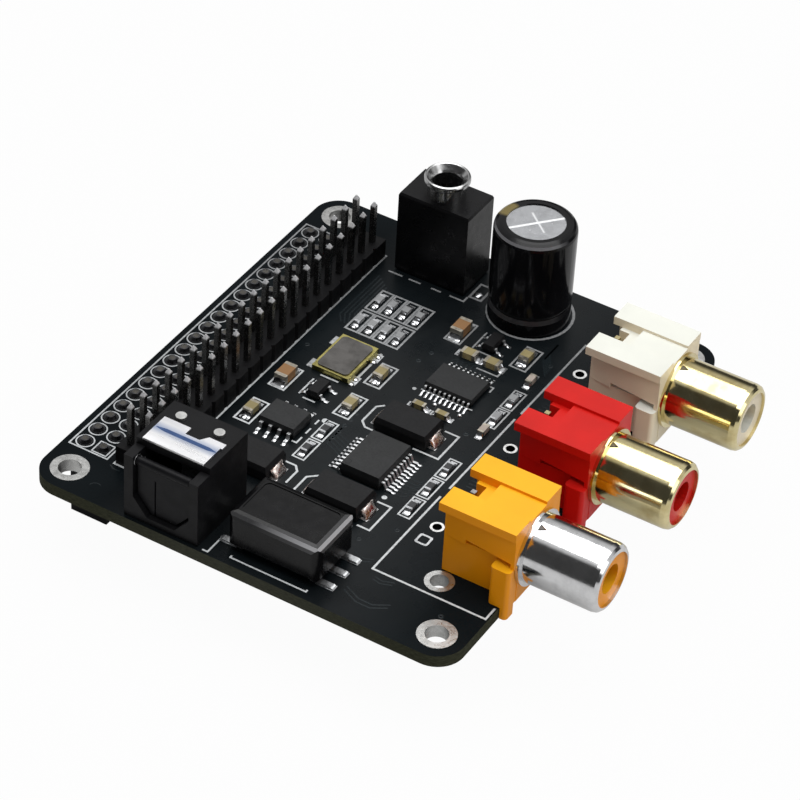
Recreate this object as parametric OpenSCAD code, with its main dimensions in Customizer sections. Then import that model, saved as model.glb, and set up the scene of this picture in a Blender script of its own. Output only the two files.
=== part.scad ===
// Audio expansion board: a small circuit board with three phono jacks, an optical jack,
// a headphone jack and a stacking header. Millimetres, +Z up. The origin is the centre of
// the four mounting holes on the board's bottom face; +X points out of the phono jacks.

/* [Board] */
// Width of the board, along X
board_w = 56; // [55:0.5:58]
// Length of the board, along Y
board_l = 65; // [64:0.5:68]
// Thickness of the board
board_t = 1.6; // [1.2:0.2:2.4]
// Radius of the board's corners
board_r = 3.5; // [2:0.5:3.5]
// Distance of each mounting hole from the two nearest edges
hole_inset = 3.5; // [3.4:0.1:3.8]
// Radius of the mounting holes
hole_r = 1.375; // [1.25:0.125:1.625]
// Radius of the bare metal ring round each mounting hole
hole_ring_r = 2.3; // [2:0.05:2.9]
// Thickness of the tinned copper in the holes and on the pads
tin_t = 0.06; // [0.04:0.01:0.1]

/* [Headers] */
// Number of pins along each header row
header_n = 20; // [16:1:20]
// Distance between neighbouring pins
pin_pitch = 2.54; // [2.5:0.02:2.54]
// Side of a square pin
pin_side = 0.64; // [0.56:0.04:0.64]
// Radius of the drilled hole round a pin
pin_drill_r = 0.5; // [0.5:0.01:0.55]
// Distance between the socket's centre line and the pin header's
header_gap = 6.35; // [6:0.05:6.6]
// Height of the plastic of the pin header
header_h = 2.54; // [2:0.02:3]
// Height of the pin tips above the board
pin_rise = 8.6; // [7:0.1:10]
// Length of the pins under the board
pin_tail = 1.4; // [1.2:0.1:2]
// Height of the stacking socket under the board
socket_h = 8.5; // [7:0.1:11]
// Width of the headers' plastic
header_w = 5; // [4.9:0.02:5.08]
// Side of the mouth of each socket cell
socket_mouth = 1.3; // [1.1:0.05:1.6]

/* [Phono jacks] */
// Distance between neighbouring phono jacks
rca_pitch = 16.5; // [15:0.1:17]
// Y of the middle phono jack
rca_mid_y = 0.7; // [0:0.1:1.5]
// Distance from the back of a jack's body to the board's edge
rca_inset = 8.8; // [8.4:0.1:9.2]
// How far the front of a jack's body stands out past the board's edge
rca_overhang = 1; // [0.8:0.1:1.6]
// Width of the top of a jack's body
rca_w = 10; // [9.4:0.1:10.6]
// Height of a jack's body above the board
rca_h = 10.6; // [10.4:0.1:11.4]
// Height of the barrel's axis above the board
rca_axis_h = 5.4; // [5.2:0.1:5.6]
// Outer radius of the barrel
rca_shell_r = 4.15; // [4:0.05:4.25]
// Wall of the barrel
rca_shell_wall = 0.45; // [0.3:0.05:0.6]
// Length of the barrel in front of the body
rca_shell_l = 9.7; // [8:0.1:10]
// Radius of the hole in the centre contact
rca_bore_r = 1.6; // [1.55:0.05:1.7]
// Depth of the top channel between the two rails of the body
rca_channel_d = 1.1; // [0.8:0.1:1.8]

/* [Optical jack] */
// Distance from the pin header's centre line to the optical jack's
opt_from_pins = 8.2; // [7.8:0.05:9]
// Distance from the board's front edge to the optical jack's face
opt_set = 0.5; // [0:0.05:0.8]
// Width of the optical jack
opt_w = 9.9; // [9.7:0.1:10.5]
// Depth of the optical jack, along Y
opt_d = 10; // [9.8:0.1:11]
// Height of the optical jack
opt_h = 9.8; // [9.7:0.1:11]
// Half the width of the port
port_half = 3.75; // [3.6:0.05:3.9]
// Height of the port's sill above the board
port_sill = 0.9; // [0.7:0.05:1.2]
// Height of the shutter's hinge above the board
hinge_h = 7.9; // [7.8:0.05:8.1]
// Thickness of the shutter
shutter_t = 0.8; // [0.6:0.05:0.9]
// Radius of the shutter's trunnions
trunnion_r = 0.5; // [0.45:0.01:0.55]

/* [Headphone jack] */
// Distance from the pin header's centre line to the headphone jack's
phone_from_pins = 9.65; // [8:0.05:12]
// Distance from the board's back edge to the headphone jack's centre
phone_from_back = 5.5; // [4:0.1:7]
// Width of the headphone jack, along X
phone_w = 9.8; // [9.4:0.1:10.4]
// Depth of the headphone jack, along Y
phone_d = 6.1; // [5.8:0.1:6.6]
// Height of the headphone jack's housing
phone_h = 11.7; // [11:0.1:13]
// Radius of the hole for the plug
phone_bore_r = 1.8; // [1.75:0.05:1.85]
// Height of the metal nose above the housing
nose_h = 2.8; // [2:0.1:3.6]
// Outer radius of the nose
nose_r = 2.4; // [2.3:0.05:2.5]

/* [Capacitor can] */
// Distance from the pin header's centre line to the can's centre
can_from_pins = 22.65; // [20:0.05:24]
// Distance from the board's back edge to the can's centre
can_from_back = 6.6; // [5.5:0.1:8]
// Radius of the can with its sleeve
can_r = 5.1; // [4.6:0.05:5.2]
// Height of the can above the board
can_h = 13.8; // [11:0.1:16]
// Radius of the bare top of the can inside the sleeve's rim
can_top_r = 3.6; // [3.2:0.05:4]
// Distance between the can's two leads
can_pitch = 5; // [4:0.1:5]

/* [Transformer] */
// Distance from the pin header's centre line to the transformer's centre
coil_from_pins = 22.05; // [20:0.05:24]
// Distance from the board's front edge to the transformer's centre
coil_from_front = 5.9; // [4.5:0.1:7]
// Size of the transformer's case
coil_size = [12.1, 7.8, 5.7]; // [5:0.1:14]
// How far each lead of the transformer reaches past its case
coil_reach = 1.4; // [1:0.1:2]

/* [Chips] */
// Place of the wide chip beside the optical jack
amp_at = [-8.5, -8.5]; // [-30:0.05:30]
// Place of the shrink package in the middle
link_at = [4.15, -8.9]; // [-30:0.05:30]
// Place of the thin package towards the capacitor can
dac_at = [4.75, 8.5]; // [-30:0.05:30]
// Places of the two small regulators
reg_at = [[-8.3, -1.5], [4.3, 17.7]]; // [-30:0.05:30]
// Place of the clock oscillator
osc_at = [-8.85, 5.3]; // [-30:0.05:30]
// Size of the clock oscillator, without its lid
osc_size = [5, 7, 0.65]; // [0.5:0.05:8]
// Places of the three moulded capacitors
tant_at = [[4.05, -16.4], [4.05, -1.45], [-8.15, -16.4]]; // [-30:0.05:30]
// Size of a moulded capacitor
tant_size = [7, 4.3, 1.9]; // [1:0.1:8]

/* [Hidden] */
$fn = 32;

// A cut goes this far past the face that it opens
past = 0.5;

// Board and headers
hole_x = board_w / 2 - hole_inset;
hole_y = board_l / 2 - hole_inset;
top_z = board_t;
socket_x = -hole_x;
pin_x = socket_x + header_gap;
row_x = [-pin_pitch / 2, pin_pitch / 2];
row_y = [for (i = [0 : header_n - 1]) (i - (header_n - 1) / 2) * pin_pitch];
header_l = header_n * pin_pitch;
pad_ring_r = 0.85;
lead_ring_r = 0.9;
tab_ring_r = 1.3;
test_ring_r = 0.85;
test_hole_r = 0.55;
pin_tip = 0.25;
socket_tail = 0.5;
leaf_t = 0.15;
cell_side = 1.8;
socket_roof = 1;
mouth_t = 1;

// Places on the middle of the board keep their distance from the pin header,
// and spread along Y with the board's length: they are given for a board 65 mm long
header_to_mid = 18.15;
mid_x = pin_x + header_to_mid;
spread = board_l / 65;
function place(p) = [mid_x + p[0], p[1] * spread];
phone_pos = [pin_x + phone_from_pins, board_l / 2 - phone_from_back];
can_pos = [pin_x + can_from_pins, board_l / 2 - can_from_back];
coil_pos = [pin_x + coil_from_pins, coil_from_front - board_l / 2];
opt_x = pin_x + opt_from_pins;
osc_pos = place(osc_at);
tant_pos = [for (p = tant_at) place(p)];

// Small parts. Every entry is place X, place Y, turned by 90 degrees or not, kind
pad_z = top_z + tin_t;
cap_places = [
    [-13, -1.3, 1, 1], [-13, -8.7, 1, 0], [-3.85, 5.3, 1, 0], [-3.9, -1.5, 1, 0],
    [-0.3, 17.9, 1, 1], [2.95, 14.4, 0, 0], [6.15, 14.4, 0, 0], [8.8, 17.9, 1, 0],
    [11.4, 14.4, 1, 2], [11.4, 3.3, 1, 2], [2.9, 2.9, 0, 2], [6, 2.9, 0, 2]
];
chip_caps = [for (c = cap_places) [place(c)[0], place(c)[1], c[2], c[3]]];
cap_size = [[2, 1.25, 0.85], [2.7, 1.6, 1.2], [1.6, 0.8, 0.7]];
res_x = 11.4;
bank_at = [-8.6, 15.05];
bank_pitch = [1.9, 4.6];
chip_resistor_pos = concat(
    [for (y = [-12.75, -8.7, -4.7, 6.35, 10.3]) place([res_x, y])],
    [for (y = [-10.95, -6.95]) place([-3.95, y])],
    [for (i = [-1.5 : 1 : 1.5], j = [-0.5, 0.5])
        place(bank_at) + [i * bank_pitch[0], j * bank_pitch[1]]]
);
res_size = [1.6, 0.8, 0.5];

// Optical jack
opt_front = -board_l / 2 + opt_set;
opt_back = opt_front + opt_d;
port_mid_z = top_z + port_sill;
port_chamfer = 1.9;
hinge_y = opt_front + 1.05;
hinge_z = top_z + hinge_h;
port_ceiling = hinge_z + shutter_t / 2 + 0.45;
port_back = opt_front + 8.3;
deck_y = opt_front + 2.4;
deck_h = 0.9;
trunnion_gap = 0.05;
shutter_gap = 0.2;
shutter_drop = hinge_z - port_mid_z - shutter_gap;
trunnion_l = 0.7;
plate_t = 0.25;
plate_d = 4.4;
stud_r = 0.65;
stud_h = 0.35;
stud_sink = 0.6;
stud_pos = [for (i = [-1, 1]) [opt_x - 0.05 + i * 2.58, opt_front + 7.9]];
port_axis_h = 4.6;
well_half = port_half - 0.55;
emitter_half = well_half - 0.4;
emitter_h = 6.6;
emitter_d = 1;
lens_r = 1;
// The spring's turns lie round the trunnion, in a recess of the housing's wall
spring_wire_r = 0.1;
spring_turns = 2;
spring_r = trunnion_r + 0.16;
spring_step = 1.9 * spring_wire_r;
spring_recess_r = spring_r + spring_wire_r + 0.05;
spring_recess_d = spring_wire_r * 2 + (spring_turns - 1) * spring_step + 0.06;
spring_leg = 3.2;
spring_leg_x = port_half - 0.45;
spring_hook_r = 0.08;

// Phono jacks
rca_back = board_w / 2 - rca_inset;
rca_front = board_w / 2 + rca_overhang;
rca_d = rca_front - rca_back;
rca_z = top_z + rca_axis_h;
rca_flange_t = 0.4;
rca_flange_r = rca_shell_r + 0.5;
rca_nose_r = rca_shell_r - rca_shell_wall;
rca_nose_l = rca_shell_l - 0.35;
rca_contact_t = 0.2;
rca_contact_r = rca_bore_r + rca_contact_t;
rca_tail_x = rca_back + 1.55;
rca_tail = 0.6;
rca_tube_x = 1.9;
rca_tab_x = rca_front - 3.3;
// The foot of a body goes down past the board's edge
rca_foot_h = 1.5;
tab_w = 1.2;
tab_t = 0.4;

// Shared leads
lead_tail = 1.5;
lead_drill_r = 0.5;
tab_drill_r = 0.8;

// Headphone jack
phone_top = top_z + phone_h;
nose_sink = 2.4;
nose_flare = 0.9;
phone_floor = 1;
phone_slot = [6.4, 3.9];
strip_t = 0.3;
strip_w = 1.2;
phone_tail_w = 0.6;
// The strips end at these distances under the slot's roof
strip_drop = [3.7, 1.9];
phone_lead_x = phone_slot[0] / 2 - strip_t / 2;

// Capacitor can
sleeve_t = 0.15;
can_wall_r = can_r - sleeve_t;
can_foot = 0.2;
can_edge = 0.8;
bung_in = 0.5;
can_top = can_h - tin_t - can_foot - sleeve_t;
can_lead_r = 0.3;
bung_h = 1.2;
neck_z = 2.2;
neck_half = 0.6;
neck_d = 0.2;

// Transformer
coil_lead_y = 2.58;
coil_base_h = 0.3;
coil_foot_in = 0.9;
coil_rim = 0.9;
coil_lead_t = 0.25;
coil_lead_w = 0.8;

// Moulded capacitors, and the ends of chip capacitors and resistors
tant_strip_t = 0.15;
tant_band = 1.1;
cap_end = [0.4, 0.5, 0.3];
res_end = 0.3;

// Each package: body across X, along Y and up; count and pitch of a row of leads;
// reach from the centre to a lead's tip; width, thickness and foot of a lead
amp_pkg = [[3.9, 4.9, 1.45], 4, 1.27, 3.05, 0.42, 0.2, 0.6];
link_pkg = [[5.3, 7.2, 1.75], 10, 0.65, 3.95, 0.3, 0.16, 0.7];
dac_pkg = [[4.4, 6.5, 1], 10, 0.65, 3.25, 0.25, 0.14, 0.6];
reg_pkg = [[1.6, 2.9, 1.1], 2, 1.9, 1.45, 0.4, 0.15, 0.4];
chips = [
    [place(amp_at), 90, amp_pkg], [place(link_at), 0, link_pkg], [place(dac_at), 90, dac_pkg],
    [place(reg_at[0]), 0, reg_pkg], [place(reg_at[1]), 0, reg_pkg]
];

// A rectangle with rounded corners, centred, in the XY plane
module rounded_rect(w, l, r) {
    square([w - 2 * r, l], center = true);
    square([w, l - 2 * r], center = true);
    for (x = [-1, 1], y = [-1, 1])
        translate([x * (w / 2 - r), y * (l / 2 - r)]) circle(r);
}

// An outline drawn in X and Z, swept along Y and centred on Y = 0
module sweep_y(l) {
    rotate([90, 0, 0]) linear_extrude(l, center = true) children();
}

// An outline drawn in Y and Z, swept along X and centred on X = 0
module sweep_x(l) {
    rotate([90, 0, 90]) linear_extrude(l, center = true) children();
}

// A moulded block that stands on Z = 0: upright between the two band heights,
// and drawn in above and below them
module moulded_block(size, band, draft) {
    intersection() {
        sweep_y(size[1] + 1) moulded_outline(size[0] / 2, size[2], band, draft);
        sweep_x(size[0] + 1) moulded_outline(size[1] / 2, size[2], band, draft);
    }
}

module moulded_outline(half, h, band, draft) {
    low = min(band[0], draft);
    polygon([
        [-half + low, 0], [half - low, 0], [half, band[0]], [half, band[1]],
        [half - draft, h], [-half + draft, h], [-half, band[1]], [-half, band[0]]
    ]);
}

// Places for a plated hole: X, Y, drilled radius and radius of its ring
function header_holes(x) = [for (dx = row_x, y = row_y) [x + dx, y, pin_drill_r, pad_ring_r]];
opt_leads = [for (i = [-1, 0, 1]) [opt_x + i * pin_pitch, opt_back - 1.5]];
can_leads = [for (i = [-0.5, 0.5]) [can_pos[0] + i * can_pitch, can_pos[1]]];
phone_leads = [
    for (i = [-1, 1], j = [-1, 1])
        [phone_pos[0] + i * phone_lead_x, phone_pos[1] + j * (phone_slot[1] / 2 - strip_w / 2 - 0.1)]
];
rca_y = [rca_mid_y + rca_pitch, rca_mid_y, rca_mid_y - rca_pitch];
lead_holes = concat(opt_leads, can_leads, phone_leads, [for (y = rca_y) [rca_tail_x, y]]);
tab_holes = [for (y = rca_y) [rca_tab_x, y]];
test_points = [for (y = rca_y) [(mid_x + res_x + rca_back) / 2 + 0.2, y + 1.85]];
corner_holes = [for (x = [-1, 1], y = [-1, 1]) [x * hole_x, y * hole_y, hole_r, hole_ring_r]];
spare_hole = [hole_x - 4.15, -hole_y + 7.45, 1.1, 1.75];
plated_holes = concat(
    corner_holes, [spare_hole], header_holes(socket_x), header_holes(pin_x),
    [for (p = lead_holes) [p[0], p[1], lead_drill_r, lead_ring_r]],
    [for (p = tab_holes) [p[0], p[1], tab_drill_r, tab_ring_r]],
    [for (p = test_points) [p[0], p[1], test_hole_r, test_ring_r]]
);

// Sides of a small round hole in the preview
function hole_fn(r) = r < 1 ? 16 : 32;

// The bare board, drilled for the plating
module board() {
    color([0.03, 0.04, 0.045])
        difference() {
            linear_extrude(board_t) rounded_rect(board_w, board_l, board_r);
            for (h = plated_holes)
                translate([h[0], h[1], -past])
                    cylinder(h = board_t + 2 * past, r = h[2] + tin_t, $fn = hole_fn(h[2]));
        }
}

// A barrel through the board with a ring on each face
module hole_plating() {
    color([0.75, 0.75, 0.76])
        for (h = plated_holes)
            translate([h[0], h[1], 0])
                rotate_extrude($fn = hole_fn(h[2]))
                    polygon([
                        [h[2], -tin_t], [h[3], -tin_t], [h[3], 0], [h[2] + tin_t, 0],
                        [h[2] + tin_t, board_t], [h[3], board_t], [h[3], board_t + tin_t], [h[2], board_t + tin_t]
                    ]);
}

// Stacking socket under the board
module stacking_socket_body() {
    color([0.05, 0.05, 0.055])
        translate([socket_x, 0, -tin_t])
            difference() {
                translate([-header_w / 2, -header_l / 2, -socket_h]) cube([header_w, header_l, socket_h]);
                for (x = row_x, y = row_y)
                    translate([x, y, 0]) {
                        translate([-cell_side / 2, -cell_side / 2, -socket_h + mouth_t])
                            cube([cell_side, cell_side, socket_h - mouth_t - socket_roof]);
                        translate([-socket_mouth / 2, -socket_mouth / 2, -socket_h - past])
                            cube([socket_mouth, socket_mouth, mouth_t + 2 * past]);
                        translate([-pin_side / 2, -pin_side / 2, -socket_roof - past])
                            cube([pin_side, pin_side, socket_roof + 2 * past]);
                    }
            }
}

// One contact: a square tail through the board and two leaves that grip a pin
module socket_contact() {
    leaf_l = socket_h - mouth_t - socket_roof - 0.6;
    translate([-pin_side / 2, -pin_side / 2, -tin_t - socket_roof])
        cube([pin_side, pin_side, socket_roof + tin_t + top_z + socket_tail]);
    translate([-cell_side / 2 + leaf_t, -pin_side / 2, -tin_t - socket_roof - leaf_t])
        cube([cell_side - 2 * leaf_t, pin_side, leaf_t]);
    for (side = [-1, 1])
        scale([side, 1, 1])
            translate([0, 0, -tin_t - socket_roof])
                sweep_y(pin_side)
                    polygon([
                        [cell_side / 2 - leaf_t, 0], [cell_side / 2 - 2 * leaf_t, 0],
                        [pin_side / 2, -leaf_l + 0.9], [pin_side / 2 + leaf_t, -leaf_l],
                        [pin_side / 2 + 2 * leaf_t, -leaf_l], [pin_side / 2 + leaf_t, -leaf_l + 0.9]
                    ]);
}

module stacking_socket_contacts() {
    color([0.8, 0.72, 0.45])
        for (x = row_x, y = row_y)
            translate([socket_x + x, y, 0]) socket_contact();
}

// A fillet of solder on a ring, round a square pin
module pin_fillet(h) {
    difference() {
        cylinder(h = h, r1 = pad_ring_r - 0.1, r2 = pin_side / 2 + 0.2, $fn = 16);
        translate([-pin_side / 2, -pin_side / 2, -past])
            cube([pin_side, pin_side, h + 2 * past]);
    }
}

module stacking_socket_solder() {
    color([0.72, 0.73, 0.75])
        for (x = row_x, y = row_y)
            translate([socket_x + x, y, pad_z]) pin_fillet(socket_tail - tin_t);
}

// Pin header on top of the board: a notched bar of plastic cells
module pin_header_body() {
    notch = 0.5;
    color([0.05, 0.05, 0.055])
        translate([pin_x, 0, pad_z])
            difference() {
                translate([-header_w / 2, -header_l / 2, 0]) cube([header_w, header_l, header_h]);
                for (side = [-1, 1], i = [1 : header_n - 1])
                    translate([side * header_w / 2, -header_l / 2 + i * pin_pitch, -past])
                        rotate(45)
                            translate([-notch / 2, -notch / 2, 0]) cube([notch, notch, header_h + 2 * past]);
                for (x = row_x, y = row_y)
                    translate([x - pin_side / 2, y - pin_side / 2, -past])
                        cube([pin_side, pin_side, header_h + 2 * past]);
            }
}

// Outline of one row of pins: straight sides and a chamfered tip at each end
module pin_outline(half, low, high) {
    polygon([
        [-half + pin_tip, low], [half - pin_tip, low], [half, low + pin_tip], [half, high - 2 * pin_tip],
        [half - pin_tip, high], [-half + pin_tip, high], [-half, high - 2 * pin_tip], [-half, low + pin_tip]
    ]);
}

// All the pins at once: two rows seen from the front meet twenty seen from the side
module pin_header_pins() {
    low = -pin_tail;
    high = top_z + pin_rise;
    color([0.6, 0.6, 0.62])
        translate([pin_x, 0, 0])
            intersection() {
                sweep_y(header_l)
                    for (x = row_x) translate([x, 0]) pin_outline(pin_side / 2, low, high);
                sweep_x(header_w)
                    for (y = row_y) translate([y, 0]) pin_outline(pin_side / 2, low, high);
            }
}

module pin_header_solder() {
    color([0.72, 0.73, 0.75])
        for (x = row_x, y = row_y)
            translate([pin_x + x, y, -tin_t]) mirror([0, 0, 1]) pin_fillet(pin_tail - tin_t - 0.4);
}

// Port of the optical jack: square above, with the two lower corners cut off
module port_outline(gap) {
    half = port_half - gap;
    low = port_mid_z + gap;
    polygon([
        [-half + port_chamfer, low], [half - port_chamfer, low], [half, low + port_chamfer * 1.2],
        [half, port_ceiling], [-half, port_ceiling], [-half, low + port_chamfer * 1.2]
    ]);
}

// Optical jack: a moulded housing with the port, the hinge holes and the emitter's well
module optical_housing() {
    color([0.06, 0.06, 0.065])
        difference() {
            translate([opt_x - opt_w / 2, opt_front, pad_z]) cube([opt_w, opt_d, opt_h - tin_t]);
            // The port, as deep as the emitter's face
            translate([opt_x, (opt_front - past + port_back) / 2, 0])
                sweep_y(port_back - opt_front + past) port_outline(0);
            // A step down at the front, and the open pocket that the shutter's bar turns in
            translate([opt_x, opt_front - past, 0]) {
                translate([-opt_w / 2 - past, 0, top_z + opt_h - deck_h])
                    cube([opt_w + 2 * past, deck_y - opt_front + past, opt_h]);
                translate([-port_half, 0, hinge_z - shutter_t])
                    cube([2 * port_half, deck_y - opt_front + past, opt_h]);
            }
            // Holes in the side walls for the trunnions
            translate([opt_x, hinge_y, hinge_z])
                rotate([0, 90, 0])
                    cylinder(h = 2 * (port_half + trunnion_l + trunnion_gap), r = trunnion_r + trunnion_gap,
                        center = true);
            // A recess for the spring's turns
            translate([opt_x - port_half - spring_recess_d, hinge_y, hinge_z])
                rotate([0, 90, 0]) cylinder(h = spring_recess_d + past, r = spring_recess_r);
            // The emitter drops into a well that is open below
            translate([opt_x - well_half, port_back - past, top_z - past])
                cube([2 * well_half, opt_back - port_back - 0.6 + past, opt_h - 1.6 + past]);
            // Sockets for the two studs
            for (p = stud_pos)
                translate([p[0], p[1], top_z + opt_h - stud_sink]) cylinder(h = stud_sink + past, r = stud_r);
        }
}

// Shutter: a panel of the port's shape under a round bar with a trunnion at each end
module optical_shutter() {
    bar_r = shutter_t / 2 + 0.15;
    groove = 0.2;
    color([0.07, 0.07, 0.075])
        difference() {
            union() {
                intersection() {
                    translate([opt_x, hinge_y, 0]) sweep_y(shutter_t) port_outline(shutter_gap);
                    translate([opt_x - opt_w / 2, opt_front - past, 0]) cube([opt_w, opt_d, hinge_z]);
                }
                translate([opt_x, hinge_y, hinge_z])
                    rotate([0, 90, 0]) cylinder(h = 2 * (port_half - 2 * shutter_gap), r = bar_r, center = true);
                translate([opt_x, hinge_y, hinge_z])
                    rotate([0, 90, 0]) cylinder(h = 2 * (port_half + trunnion_l), r = trunnion_r, center = true);
            }
            // A moulded line down the panel
            translate([opt_x - 1.25, hinge_y - shutter_t / 2 - past, port_mid_z])
                cube([groove, past + groove, 5.3]);
            // A hole that the spring's leg is hooked into
            translate([opt_x - spring_leg_x, hinge_y, hinge_z - spring_leg])
                rotate([-90, 0, 0]) cylinder(h = shutter_t, r = spring_hook_r, $fn = 16);
        }
}

// Shutter spring: turns of wire round one trunnion, and a leg that hooks into the panel
module optical_shutter_spring() {
    first = port_half + spring_wire_r;
    color([0.7, 0.7, 0.72])
        translate([opt_x, hinge_y, hinge_z]) {
            rotate([0, -90, 0])
                rotate_extrude($fn = 24)
                    for (i = [0 : spring_turns - 1])
                        translate([spring_r, first + i * spring_step]) circle(spring_wire_r, $fn = 16);
            translate([-first, spring_r, 0])
                rotate([0, 90, 0]) cylinder(h = first - spring_leg_x, r = spring_hook_r, $fn = 16);
            translate([-spring_leg_x, spring_r, -spring_leg]) {
                translate([0, 0, -spring_wire_r])
                    cylinder(h = spring_leg + 2 * spring_wire_r, r = spring_wire_r, $fn = 16);
                rotate([90, 0, 0]) cylinder(h = spring_r, r = spring_hook_r, $fn = 16);
            }
        }
}

// Emitter: a clear block with a lens that faces the port, on three leads
module optical_emitter() {
    color([0.85, 0.9, 0.95, 0.6])
        translate([opt_x, port_back, top_z + 0.5]) {
            translate([-emitter_half, 0, 0]) cube([2 * emitter_half, emitter_d, emitter_h]);
            translate([0, 0, port_axis_h - 0.5])
                rotate([90, 0, 0]) cylinder(h = 0.5, r1 = lens_r, r2 = 0.7);
        }
}

module optical_leads() {
    thick = 0.4;
    color([0.75, 0.75, 0.76])
        for (p = opt_leads)
            translate([p[0] - thick / 2, p[1] - thick / 2, -lead_tail])
                cube([thick, thick, lead_tail + top_z + 0.5]);
}

// Bright plate on the jack's top, notched at its back edge
module optical_top_plate() {
    w = opt_w - 1.7;
    color([0.82, 0.83, 0.85])
        translate([opt_x, deck_y, top_z + opt_h])
            linear_extrude(plate_t)
                polygon([
                    [-w / 2, 0], [w / 2, 0], [w / 2, plate_d - 1.1], [w / 2 + 0.25, plate_d - 1.1],
                    [w / 2 + 0.25, plate_d - 0.2], [w / 4, plate_d - 0.2], [w / 6, plate_d - 1.2],
                    [-w / 16, plate_d - 1.2], [-w / 16, plate_d], [-w / 2, plate_d]
                ]);
}

module optical_studs() {
    color([0.8, 0.8, 0.78])
        for (p = stud_pos)
            translate([p[0], p[1], top_z + opt_h - stud_sink]) cylinder(h = stud_sink + stud_h, r = stud_r);
}

// Headphone jack: an upright housing with a slot for the contacts under the nose
module headphone_housing() {
    color([0.06, 0.06, 0.065])
        translate([phone_pos[0], phone_pos[1], 0])
            difference() {
                translate([0, 0, pad_z])
                    moulded_block([phone_w, phone_d, phone_h - tin_t], [0.2, phone_h - 0.4], 0.15);
                translate([-phone_slot[0] / 2, -phone_slot[1] / 2, top_z + phone_floor])
                    cube([phone_slot[0], phone_slot[1], phone_h - phone_floor - nose_sink]);
                translate([0, 0, phone_top - nose_sink - past])
                    cylinder(h = nose_sink + 2 * past, r = nose_r);
                for (p = phone_leads)
                    translate([p[0] - phone_pos[0] - strip_t / 2, p[1] - phone_pos[1] - strip_w / 2, 0])
                        cube([strip_t, strip_w, top_z + phone_floor + past]);
            }
}

// Nose: a tube with a thick rolled lip and a flared mouth
module headphone_nose() {
    lip_r = nose_r + 0.45;
    color([0.8, 0.8, 0.82])
        translate([phone_pos[0], phone_pos[1], phone_top])
            rotate_extrude()
                polygon([
                    [phone_bore_r, -nose_sink], [nose_r, -nose_sink], [nose_r, nose_h - 1],
                    [lip_r - 0.1, nose_h - 0.8], [lip_r, nose_h - 0.6], [lip_r, nose_h - 0.25],
                    [lip_r - 0.08, nose_h - 0.08], [lip_r - 0.25, nose_h], [lip_r - 0.4, nose_h - 0.06],
                    [phone_bore_r + 0.15, nose_h - 0.65], [phone_bore_r, nose_h - nose_flare]
                ]);
}

// Four spring strips along the slot's walls, each bent in to press on the plug
module headphone_contacts() {
    strip_in = phone_lead_x - phone_bore_r - strip_t;
    color([0.8, 0.72, 0.45])
        for (k = [0 : 3]) {
            p = phone_leads[k];
            side = p[0] < phone_pos[0] ? 1 : -1;
            bend = phone_h - nose_sink - strip_drop[k % 2];
            translate([p[0], p[1], 0])
                scale([side, 1, 1]) {
                    sweep_y(phone_tail_w)
                        polygon([
                            [-strip_t / 2, -lead_tail], [strip_t / 2, -lead_tail],
                            [strip_t / 2, pad_z + past], [-strip_t / 2, pad_z + past]
                        ]);
                    sweep_y(strip_w)
                        polygon([
                            [-strip_t / 2, pad_z], [strip_t / 2, pad_z],
                            [strip_t / 2, top_z + phone_floor + 0.6], [strip_in + strip_t, top_z + bend - 0.5],
                            [strip_in + strip_t, top_z + bend], [strip_in, top_z + bend],
                            [strip_in, top_z + bend - 0.5], [-strip_t / 2, top_z + phone_floor + 0.6]
                        ]);
                }
        }
}

// Rounded shoulder: points on a quarter circle, from the wall to the top
function shoulder(r, z, edge) = concat(
    [[r, z - edge]],
    [for (a = [22.5, 45, 67.5]) [r - edge + edge * cos(a), z - edge + edge * sin(a)]],
    [[r - edge, z]]
);
shoulder_in = shoulder(can_wall_r, can_top, can_edge);
shoulder_out = shoulder(can_r, can_top + sleeve_t, can_edge + sleeve_t);

// Capacitor can: drawn aluminium, scored across its top, with a rolled neck near its foot
module capacitor_can() {
    score_turn = 50;
    color([0.78, 0.79, 0.8])
        translate([can_pos[0], can_pos[1], pad_z + can_foot])
            difference() {
                rotate_extrude()
                    polygon(concat(
                        [[0, bung_h], [can_wall_r - bung_in, bung_h], [can_wall_r - bung_in, 0],
                        [can_wall_r, 0], [can_wall_r, neck_z - neck_half],
                        [can_wall_r - neck_d, neck_z], [can_wall_r, neck_z + neck_half]],
                        shoulder_in, [[0, can_top]]
                    ));
                rotate(score_turn) can_score(0.95 * can_top_r, 0.55, 0.15);
                rotate(score_turn + 90) can_score(0.6 * can_top_r, 0.4, 0.08);
            }
}

// A groove with sloping sides across the top of the can
module can_score(reach, w, d) {
    translate([0, 0, can_top])
        sweep_x(2 * reach) polygon([[-w / 2, 0], [0, -d], [w / 2, 0], [w / 2, 1], [-w / 2, 1]]);
}

// Printed sleeve, shrunk round the can, its neck and its shoulder
module capacitor_sleeve() {
    color([0.03, 0.03, 0.035])
        translate([can_pos[0], can_pos[1], pad_z + can_foot])
            rotate_extrude()
                polygon(concat(
                    [[can_wall_r, 0], [can_r, 0], [can_r, neck_z - neck_half],
                    [can_r - neck_d, neck_z], [can_r, neck_z + neck_half]],
                    shoulder_out,
                    [[can_top_r, can_top + sleeve_t], [can_top_r, can_top]],
                    [for (i = [len(shoulder_in) - 1 : -1 : 0]) shoulder_in[i]],
                    [[can_wall_r, neck_z + neck_half], [can_wall_r - neck_d, neck_z],
                    [can_wall_r, neck_z - neck_half]]
                ));
}

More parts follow.
